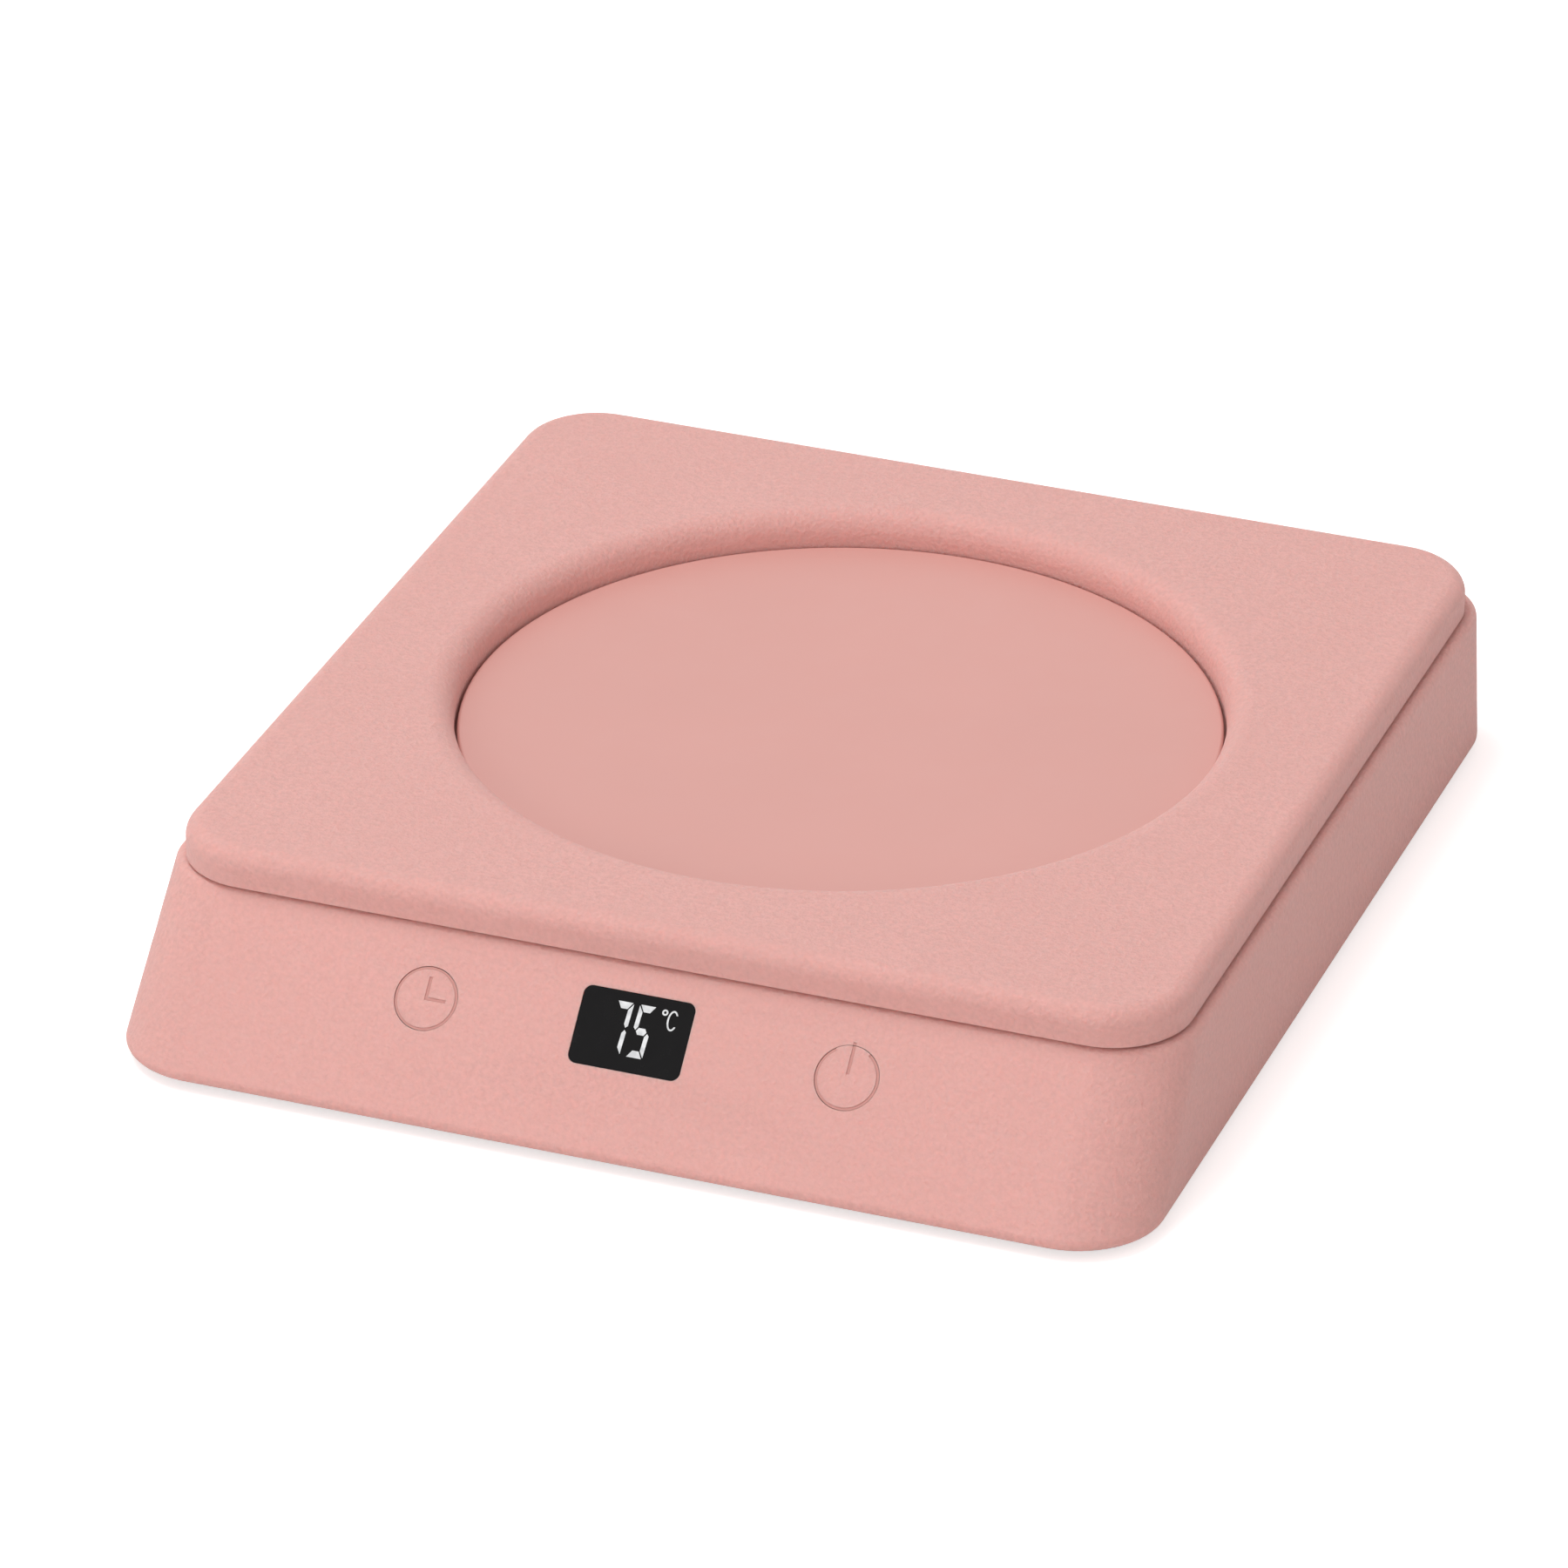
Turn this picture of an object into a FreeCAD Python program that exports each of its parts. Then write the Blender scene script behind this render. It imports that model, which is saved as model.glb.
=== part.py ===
import FreeCAD, Part
import math
import os
import re
import Sketcher
from FreeCAD import Placement, Rotation, Vector

# Electric mug warmer.
# A square cover with a round recess sits on a case ring whose front wall leans back.
# A round aluminium heating plate fills the recess. A small display and two round
# push keys sit in the front wall. The control board, heater and sensors are inside.
#
# Frame: +X to the right, +Y to the back, +Z up. The origin is the centre of the
# bounding box's bottom, on the surface that the rubber feet stand on.
# Panel frame: origin on the sharp lower line of the front wall, X to the right,
# Y up the wall, Z out of the wall.

os.makedirs("parts", exist_ok=True)
doc = FreeCAD.newDocument("mug_warmer")

# Driving dimensions, in millimetres and degrees
SIZES = {
    # Case ring
    "foot_width": 123.7,
    "overall_depth": 135.9,
    "foot_stand": 1.0,
    "shell_height": 17.4,
    "shell_wall": 2.0,
    "front_slope": 43.0,
    "side_taper": 0.7,
    "foot_front_corner": 10.4,
    "rim_corner": 9.4,
    "foot_round": 0.9,
    "shoulder_round": 1.0,
    "ledge_width": 1.5,
    "ledge_height": 1.4,
    "shelf_width": 2.4,
    "shelf_height": 2.0,
    # Top cover
    "cover_side_step": 1.85,
    "cover_front_setback": 14.7,
    "cover_back_step": 1.2,
    "cover_corner": 9.4,
    "cover_rim_height": 4.4,
    "cover_edge_round": 2.2,
    "cover_skin": 2.0,
    "parting_gap": 0.4,
    "tongue_height": 2.4,
    "tongue_wall": 1.15,
    "tongue_clearance": 0.2,
    # Recess and heating plate
    "recess_radius": 45.0,
    "recess_depth": 4.0,
    "lip_round": 3.0,
    "collar_wall": 4.5,
    "plate_gap": 0.35,
    "plate_edge_round": 0.4,
    "plate_step": 2.0,
    "flange_width": 2.6,
    "flange_thickness": 1.2,
    "seal_thickness": 0.8,
    "seal_inset": 0.3,
    # Heater stack under the plate
    "film_inset": 5.0,
    "film_thickness": 0.6,
    "pad_inset": 2.5,
    "pad_thickness": 1.2,
    "pad_clearance": 0.5,
    "tray_gauge": 1.0,
    "tray_flange_width": 4.4,
    "tray_ear_radius": 3.6,
    "tray_boss_gap": 1.0,
    "tray_boss_radius": 3.0,
    "tray_screw_radius": 1.1,
    "tray_screw_length": 5.4,
    # Bottom cover
    "floor_recess": 0.6,
    "floor_thickness": 2.0,
    "floor_clearance": 0.25,
    "post_radius": 3.6,
    "post_height": 3.4,
    "case_screw_inset": 6.8,
    "case_screw_y": 36.0,
    "case_screw_radius": 1.25,
    "case_screw_length": 12.0,
    "case_screw_head_radius": 2.3,
    "case_screw_head_height": 1.7,
    "counterbore_radius": 2.6,
    "counterbore_depth": 2.5,
    "vent_length": 12.0,
    "vent_width": 2.0,
    "vent_pitch": 6.0,
    "vent_count": 7,
    "vent_row_front": -27.0,
    "vent_row_step": 17.0,
    # Rubber feet
    "rubber_foot_radius": 6.0,
    "rubber_foot_edge": 0.5,
    "foot_pocket_depth": 0.8,
    "foot_pocket_clearance": 0.1,
    "foot_side_inset": 11.85,
    "foot_front_inset": 13.0,
    "foot_back_inset": 10.5,
    # Control board
    "board_width": 48.0,
    "board_length": 57.0,
    "board_thickness": 1.6,
    "board_back_gap": 0.8,
    "standoff_height": 2.4,
    "standoff_radius": 2.6,
    "board_hole_x": 20.0,
    "board_hole_inset": 5.0,
    "small_screw_radius": 0.95,
    "small_screw_head_radius": 1.9,
    "small_screw_head_height": 1.2,
    "small_screw_grip": 3.0,
    "screw_hole_clearance": 0.2,
    "thread_clearance": 0.03,
    # Parts on the control board
    "chip_side": 7.0,
    "chip_height": 1.0,
    "transistor_width": 6.5,
    "transistor_length": 9.0,
    "transistor_height": 2.3,
    "inductor_side": 7.0,
    "inductor_height": 3.0,
    "capacitor_radius": 2.5,
    "capacitor_height": 4.2,
    "capacitor_spacing": 6.6,
    "buzzer_radius": 4.5,
    "buzzer_height": 4.0,
    "connector_length": 5.0,
    "connector_setback": 12.0,
    "connector_margin": 1.3,
    "ribbon_connector_setback": 1.0,
    "ribbon_connector_height": 3.0,
    # Power inlet in the back wall
    "socket_width": 8.94,
    "socket_height": 3.26,
    "socket_length": 7.35,
    "socket_wall": 0.3,
    "socket_tongue_width": 6.6,
    "socket_tongue_height": 0.7,
    "socket_tongue_length": 4.6,
    "socket_inset": 0.15,
    "socket_clearance": 0.2,
    # Temperature sensor and thermal fuse
    "thermistor_x": 12.0,
    "thermistor_y": -11.0,
    "thermistor_radius": 2.4,
    "thermistor_drop": 1.0,
    "grommet_wall": 0.6,
    "grommet_flange_radius": 4.2,
    "grommet_flange_height": 0.6,
    "sensor_lead_radius": 0.45,
    "sensor_lead_spacing": 1.6,
    "sensor_lead_drop": 1.8,
    "fuse_x": -14.0,
    "fuse_y": -4.0,
    "fuse_radius": 1.8,
    "fuse_length": 9.0,
    "fuse_pin_radius": 0.5,
    "fuse_pin_length": 3.0,
    "clip_gauge": 0.5,
    "clip_length": 5.0,
    "clip_foot": 4.2,
    "clip_clearance": 0.1,
    "rivet_radius": 0.8,
    "rivet_head_radius": 1.4,
    "rivet_head_height": 0.5,
    "terminal_y": -21.0,
    "terminal_spacing": 6.0,
    "terminal_hole_radius": 1.5,
    "heater_lead_radius": 0.6,
    "lead_bend": 2.5,
    # Display in the front wall
    "display_x": -0.75,
    "display_up": 15.95,
    "window_width": 13.25,
    "window_height": 9.0,
    "window_corner": 1.0,
    "window_thickness": 1.6,
    "window_clearance": 0.05,
    "window_land": 0.9,
    "segment_depth": 0.4,
    "digit_width": 2.0,
    "digit_height": 6.1,
    "digit_bar": 0.8,
    "digit_stroke": 0.5,
    "digit_lean": 2.5,
    "segment_gap": 0.12,
    "first_digit_x": -1.65,
    "second_digit_x": 1.05,
    "digit_y": 0.3,
    "degree_radius": 0.36,
    "degree_x": 3.25,
    "degree_y": 2.95,
    "degree_stroke": 0.2,
    "unit_x": 4.3,
    "unit_y": 2.15,
    "unit_width": 1.25,
    "unit_height": 2.35,
    "unit_opening": 1.3,
    "module_width": 14.0,
    "module_height": 8.4,
    # Front board behind the display and the keys
    "front_board_depth": 5.9,
    "front_board_thickness": 1.2,
    "front_board_width": 62.0,
    "front_board_low": 4.4,
    "front_board_high": 6.9,
    "front_post_x": 14.6,
    "front_post_radius": 2.3,
    "front_screw_grip": 3.0,
    "front_connector_width": 12.0,
    "front_connector_height": 4.0,
    "front_connector_depth": 2.0,
    "front_connector_up": 4.0,
    "ribbon_width": 10.0,
    "ribbon_thickness": 0.6,
    "ribbon_bend": 3.0,
    "ribbon_lead_out": 4.5,
    "ribbon_height": 1.6,
    # Push keys
    "timer_key_x": -25.35,
    "power_key_x": 24.85,
    "key_up": 15.45,
    "key_radius": 3.7,
    "key_clearance": 0.07,
    "key_travel": 0.4,
    "key_flange_width": 0.9,
    "key_flange_thickness": 0.6,
    "key_flange_gap": 0.15,
    "key_stem_radius": 1.5,
    "sign_stroke": 0.4,
    "sign_depth": 0.12,
    "ring_opening": 66.0,
    "bar_low": 0.4,
    "bar_over": 0.35,
    "hand_up": 2.55,
    "hand_side": 2.35,
    "switch_side": 4.5,
    "switch_height": 2.0,
    "plunger_radius": 0.9,
    "plunger_stand": 0.5,
    "plunger_bury": 0.6,
    "plunger_clearance": 0.1,
}

# Levels and places worked out from the driving dimensions
DERIVED = {
    "shell_bottom": "foot_stand",
    "rim_top": "shell_bottom + shell_height",
    "cover_bottom": "rim_top + parting_gap",
    "cover_top": "cover_bottom + cover_rim_height",
    "skin_bottom": "cover_top - cover_skin",
    "tongue_bottom": "cover_bottom - tongue_height",
    "shelf_bottom": "tongue_bottom - shelf_height",
    "case_floor": "shell_bottom + floor_recess",
    "floor_top": "case_floor + floor_thickness",
    "post_top": "floor_top + post_height",
    "board_bottom": "floor_top + standoff_height",
    "board_top": "board_bottom + board_thickness",
    "plate_top": "cover_top - recess_depth",
    "flange_top": "plate_top - plate_step",
    "collar_bottom": "flange_top + seal_thickness",
    "plate_bottom": "flange_top - flange_thickness",
    "film_bottom": "plate_bottom - film_thickness",
    "pad_bottom": "film_bottom - pad_thickness",
    "tray_bottom": "pad_bottom - tray_gauge",
    "plate_radius": "recess_radius - plate_gap",
    "flange_radius": "recess_radius + flange_width",
    "collar_radius": "recess_radius + collar_wall",
    "film_radius": "recess_radius - film_inset",
    "pad_radius": "recess_radius - pad_inset",
    "tray_inner": "pad_radius + pad_clearance",
    "tray_outer": "tray_inner + tray_gauge",
    "tray_flange_radius": "tray_outer + tray_flange_width",
    "back": "overall_depth / 2",
    "cover_width": "foot_width - 2 * cover_side_step",
    "cover_depth": "overall_depth - cover_back_step - cover_front_setback",
    "foot_front": "-overall_depth / 2 - foot_round * (tan(front_slope) + 1 / cos(front_slope) - 1)",
    "cover_centre": "back - cover_back_step - cover_depth / 2",
    "tongue_half": "foot_width / 2 - side_taper - shell_wall - tongue_clearance",
    "tongue_back": "back - shell_wall - tongue_clearance - cover_centre",
    "tongue_front": "foot_front + shell_height * tan(front_slope) + shell_wall / cos(front_slope)"
                    " + tongue_clearance - cover_centre",
    "tongue_corner": "rim_corner - shell_wall - tongue_clearance",
    "tray_boss_ring": "flange_radius + tray_boss_gap + tray_boss_radius",
    "case_screw_x": "tongue_half - tongue_wall - case_screw_inset",
    "foot_x": "foot_width / 2 - foot_side_inset",
    "board_back": "back - shell_wall - board_back_gap",
    "board_front": "board_back - board_length",
    "connector_front": "board_front + connector_setback",
    "thermistor_bottom": "tray_bottom - thermistor_drop",
    "sensor_lead_level": "thermistor_bottom - sensor_lead_drop",
    "fuse_level": "tray_bottom - fuse_radius",
    "key_flange_top": "shell_wall + key_flange_gap",
    "switch_face": "front_board_depth - switch_height",
    "plunger_tip": "switch_face - plunger_stand",
    "board_screw_back": "board_back - board_hole_inset",
    "board_screw_front": "board_front + board_hole_inset",
}


def expand(text):
    """Write a formula in the sheet's terms: derived names are opened, aliases get the sheet's name."""
    def swap(match):
        word = match.group(0)
        if word in DERIVED:
            return "(" + expand(DERIVED[word]) + ")"
        if word in SIZES:
            return "sizes." + word
        return word
    return re.sub(r"[a-z_][a-z_0-9]*", swap, text)


sheet = doc.addObject("Spreadsheet::Sheet", "sizes")
for row, (alias, number) in enumerate(SIZES.items(), start=1):
    sheet.set(f"A{row}", alias)
    sheet.set(f"B{row}", str(number))
    sheet.setAlias(f"B{row}", alias)
doc.recompute()


def value(text):
    """The number that a formula has now."""
    return float(sheet.evalExpression(expand(text)))


# Placing

def place(item, x, y, z, on_panel=False, prop="Placement"):
    """Tie an object's place to formulas, in the case frame or in the panel frame."""
    if on_panel:
        item_turn = Rotation(Vector(1, 0, 0), 90 - value("front_slope"))
        setattr(item, prop, Placement(Vector(), item_turn))
        item.setExpression(f"{prop}.Rotation.Angle", expand("90 - front_slope"))
        case_y = f"foot_front + ({y}) * sin(front_slope) - ({z}) * cos(front_slope)"
        case_z = f"shell_bottom + ({y}) * cos(front_slope) + ({z}) * sin(front_slope)"
        y, z = case_y, case_z
    for axis, formula in (("x", x), ("y", y), ("z", z)):
        item.setExpression(f"{prop}.Base.{axis}", expand(formula))


def new_body(label, x="0", y="0", z="0", on_panel=False):
    body = doc.addObject("PartDesign::Body", label)
    body.Label = label
    place(body, x, y, z, on_panel)
    return body


# Sketches

def origin_part(body, role):
    return next(item for item in body.Origin.OriginFeatures if item.Role == role)


def new_sketch(body, name, plane="XY_Plane", offset="0"):
    """A sketch on one of the body's origin planes, moved along its normal."""
    sketch = body.newObject("Sketcher::SketchObject", name)
    sketch.AttachmentSupport = (origin_part(body, plane), [""])
    sketch.MapMode = "FlatFace"
    sketch.setExpression("AttachmentOffset.Base.z", expand(offset))
    return sketch


def panel_sketch(body, name, depth="0"):
    """A sketch parallel to the front wall's outer face, a depth behind it."""
    sketch = new_sketch(body, name)
    place(sketch, "0", "0", f"-({depth})", on_panel=True, prop="AttachmentOffset")
    return sketch


def tie(sketch, kind, references, formula):
    """Add a dimension whose size is a formula."""
    index = sketch.addConstraint(Sketcher.Constraint(kind, *references, value(formula)))
    sketch.setExpression(f"Constraints[{index}]", expand(formula))


def tie_point(sketch, geometry, point, x, y):
    """Fix a point of a sketch at formulas, measured from the sketch's origin."""
    for kind, axis, formula in (("DistanceX", -2, x), ("DistanceY", -1, y)):
        if formula == "0":
            sketch.addConstraint(Sketcher.Constraint("PointOnObject", geometry, point, axis))
        elif value(formula) < 0:
            tie(sketch, kind, (geometry, point, -1, 1), f"-({formula})")
        else:
            tie(sketch, kind, (-1, 1, geometry, point), formula)


def draw_circle(sketch, radius, x="0", y="0"):
    centre = Vector(value(x), value(y), 0)
    index = sketch.addGeometry(Part.Circle(centre, Vector(0, 0, 1), value(radius)), False)
    tie(sketch, "Radius", (index,), radius)
    tie_point(sketch, index, 3, x, y)


def draw_polygon(sketch, points):
    """A closed outline of straight lines through points given as formulas."""
    spots = [Vector(value(x), value(y), 0) for x, y in points]
    first = sketch.GeometryCount
    count = len(spots)
    for i, spot in enumerate(spots):
        sketch.addGeometry(Part.LineSegment(spot, spots[(i + 1) % count]), False)
    for i, (x, y) in enumerate(points):
        previous = first + (i - 1) % count
        sketch.addConstraint(Sketcher.Constraint("Coincident", previous, 2, first + i, 1))
        tie_point(sketch, first + i, 1, x, y)


def draw_rounded(sketch, left, right, front, rear, front_radius, rear_radius=None):
    """A rectangle with rounded corners, tied side by side to formulas."""
    rear_radius = rear_radius or front_radius
    x0, x1, y0, y1 = (value(side) for side in (left, right, front, rear))
    rf, rr = value(front_radius), value(rear_radius)
    corners = ((x1 - rf, y0 + rf, rf, -90), (x1 - rr, y1 - rr, rr, 0),
               (x0 + rr, y1 - rr, rr, 90), (x0 + rf, y0 + rf, rf, 180))
    arcs = []
    for cx, cy, radius, start in corners:
        circle = Part.Circle(Vector(cx, cy, 0), Vector(0, 0, 1), radius)
        arcs.append(Part.ArcOfCircle(circle, math.radians(start), math.radians(start + 90)))
    base = sketch.GeometryCount
    for i in range(4):
        line = Part.LineSegment(arcs[i - 1].EndPoint, arcs[i].StartPoint)
        sketch.addGeometry(line, False)
        sketch.addGeometry(arcs[i], False)
    for i in range(8):
        here, following = base + i, base + (i + 1) % 8
        sketch.addConstraint(Sketcher.Constraint("Tangent", here, 2, following, 1))
    for i, kind in enumerate(("Horizontal", "Vertical", "Horizontal", "Vertical")):
        sketch.addConstraint(Sketcher.Constraint(kind, base + 2 * i))
    for i, radius in enumerate((front_radius, rear_radius, rear_radius, front_radius)):
        tie(sketch, "Radius", (base + 2 * i + 1,), radius)
    sides = (("DistanceY", 0, front), ("DistanceX", 2, right), ("DistanceY", 4, rear), ("DistanceX", 6, left))
    for kind, line, formula in sides:
        if value(formula) < 0:
            tie(sketch, kind, (base + line, 1, -1, 1), f"-({formula})")
        else:
            tie(sketch, kind, (-1, 1, base + line, 1), formula)


def draw_box(sketch, left, right, front, rear):
    draw_polygon(sketch, [(left, front), (right, front), (right, rear), (left, rear)])


def case_sides(level, inset):
    """The case ring's half width, front line and front corner radius at a height, moved in by an inset."""
    rise = f"(({level}) - shell_bottom)"
    half = f"foot_width / 2 - side_taper * {rise} / shell_height - ({inset})"
    front = f"foot_front + {rise} * tan(front_slope) + ({inset}) / cos(front_slope)"
    corner = f"foot_front_corner + (rim_corner - foot_front_corner) * {rise} / shell_height - ({inset})"
    return half, front, corner


def case_outline(sketch, level, inset):
    """The case ring's plan at a height, moved inwards by an inset square to the walls."""
    half, front, corner = case_sides(level, inset)
    draw_rounded(sketch, f"-({half})", half, front, f"back - ({inset})", corner, f"rim_corner - ({inset})")


def draw_corner(sketch, side, end, radius, outwards):
    """The waste outside one rounded corner: an arc closed by lines that pass outside the corner."""
    arm = f"{outwards} shell_wall"
    inner_x, inner_y = f"{side} - ({radius})", f"{end} - ({outwards} ({radius}))"
    points = [(inner_x, end), (inner_x, f"{end} + ({arm})"), (f"{side} + shell_wall", f"{end} + ({arm})"),
              (f"{side} + shell_wall", inner_y), (side, inner_y)]
    spots = [Vector(value(x), value(y), 0) for x, y in points]
    for start, stop in zip(spots, spots[1:]):
        sketch.addGeometry(Part.LineSegment(start, stop), False)
    circle = Part.Circle(Vector(value(inner_x), value(inner_y), 0), Vector(0, 0, 1), value(radius))
    first, ends = (-90, (2, 1)) if outwards == "-1 *" else (0, (1, 2))
    sketch.addGeometry(Part.ArcOfCircle(circle, math.radians(first), math.radians(first + 90)), False)
    for i in range(1, 4):
        sketch.addConstraint(Sketcher.Constraint("Coincident", i - 1, 2, i, 1))
    sketch.addConstraint(Sketcher.Constraint("Coincident", 3, 2, 4, ends[0]))
    sketch.addConstraint(Sketcher.Constraint("Coincident", 4, ends[1], 0, 1))
    for i, (x, y) in enumerate(points[:4]):
        tie_point(sketch, i, 1, x, y)
    tie_point(sketch, 3, 2, *points[4])
    tie(sketch, "Radius", (4,), radius)


# Features of a body

def settle(body, feature):
    """Make a feature the body's tip and recompute."""
    body.Tip = feature
    doc.recompute()
    return feature


def pad(body, name, sketch, length, downwards=False, both_ways=False):
    feature = body.newObject("PartDesign::Pad", name)
    feature.Profile = sketch
    feature.Reversed = downwards
    feature.Midplane = both_ways
    feature.setExpression("Length", expand(length))
    return settle(body, feature)


def pocket(body, name, sketch, length, upwards=False, both_ways=False):
    """Cut a sketch's outline into the body, against the sketch's normal or along it."""
    before = body.Shape.Volume
    feature = body.newObject("PartDesign::Pocket", name)
    feature.Profile = sketch
    feature.Reversed = upwards
    feature.Midplane = both_ways
    feature.setExpression("Length", expand(length))
    settle(body, feature)
    if body.Shape.Volume >= before:
        raise RuntimeError(f"{body.Label}: {name} cuts nothing")
    return feature


def loft(body, kind, name, low, high):
    """A ruled loft between the case's plans at two heights, each given as height and inset."""
    profiles = []
    for end, (level, inset) in (("low", low), ("high", high)):
        sketch = new_sketch(body, f"{name}_{end}", offset=level)
        case_outline(sketch, level, inset)
        profiles.append(sketch)
    doc.recompute()
    feature = body.newObject(kind, name)
    feature.Profile = profiles[0]
    feature.Sections = [profiles[1]]
    feature.Ruled = True
    return settle(body, feature)


def revolve(body, name, points):
    """Turn an outline of radii and heights round the body's own Z axis."""
    sketch = new_sketch(body, f"{name}_outline", plane="XZ_Plane")
    draw_polygon(sketch, points)
    doc.recompute()
    feature = body.newObject("PartDesign::Revolution", name)
    feature.Profile = sketch
    feature.ReferenceAxis = (sketch, ["V_Axis"])
    feature.Angle = 360
    return settle(body, feature)


def round_edges(body, name, radius, wanted):
    """Fillet the edges of the body's tip that a test picks out."""
    tip = body.Tip
    picked = [f"Edge{i}" for i, edge in enumerate(tip.Shape.Edges, start=1) if wanted(edge)]
    feature = body.newObject("PartDesign::Fillet", name)
    feature.Base = (tip, picked)
    feature.setExpression("Radius", expand(radius))
    return settle(body, feature)


def edges_at(level):
    """A test for edges that lie flat at a height."""
    height = value(level)

    def wanted(edge):
        box = edge.BoundBox
        return abs(box.ZMin - height) < 1e-4 and abs(box.ZMax - height) < 1e-4
    return wanted


# Plain solids and booleans

def block(name, low, high):
    """A box between two corners given as formulas."""
    item = doc.addObject("Part::Box", name)
    for side, start, end in zip(("Length", "Width", "Height"), low, high):
        item.setExpression(side, expand(f"({end}) - ({start})"))
    place(item, *low)
    return item


def rod(name, radius, low, high, x="0", y="0"):
    """An upright cylinder between two heights."""
    item = doc.addObject("Part::Cylinder", name)
    item.setExpression("Radius", expand(radius))
    item.setExpression("Height", expand(f"({high}) - ({low})"))
    place(item, x, y, low)
    return item


def fuse(name, *pieces):
    item = doc.addObject("Part::MultiFuse", name)
    item.Shapes = list(pieces)
    return item


def cut(name, base, *tools):
    item = doc.addObject("Part::Cut", name)
    item.Base = base
    item.Tool = tools[0] if len(tools) == 1 else fuse(f"{name}_tools", *tools)
    return item


def group(name, *pieces):
    item = doc.addObject("Part::Compound", name)
    item.Links = list(pieces)
    return item


def link_group(label, master, places, on_panel=False):
    """One node of like solids: a master piece linked to each of its places."""
    links = []
    for i, (x, y, z) in enumerate(places, start=1):
        link = doc.addObject("App::Link", f"{label}_{i}")
        link.LinkedObject = master
        place(link, x, y, z, on_panel)
        links.append(link)
    return group(label, *links)


nodes = []


def keep(item, label=None):
    """Register an object as a sub-part."""
    item.Label = label or item.Label
    nodes.append(item)
    return item


# Base shell: the case ring, open at the top and bottom

def round_corner(body, name, front):
    """Cut one upright corner round, with a radius that changes up the wall."""
    profiles = []
    for level in ("shell_bottom", "rim_top"):
        half, front_line, corner = case_sides(level, "0")
        sketch = new_sketch(body, f"{name}_{level}", offset=level)
        if front:
            draw_corner(sketch, half, front_line, corner, "-1 *")
        else:
            draw_corner(sketch, half, "back", "rim_corner", "1 *")
        profiles.append(sketch)
    doc.recompute()
    feature = body.newObject("PartDesign::SubtractiveLoft", name)
    feature.Profile = profiles[0]
    feature.Sections = [profiles[1]]
    feature.Ruled = True
    return settle(body, feature)


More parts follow.
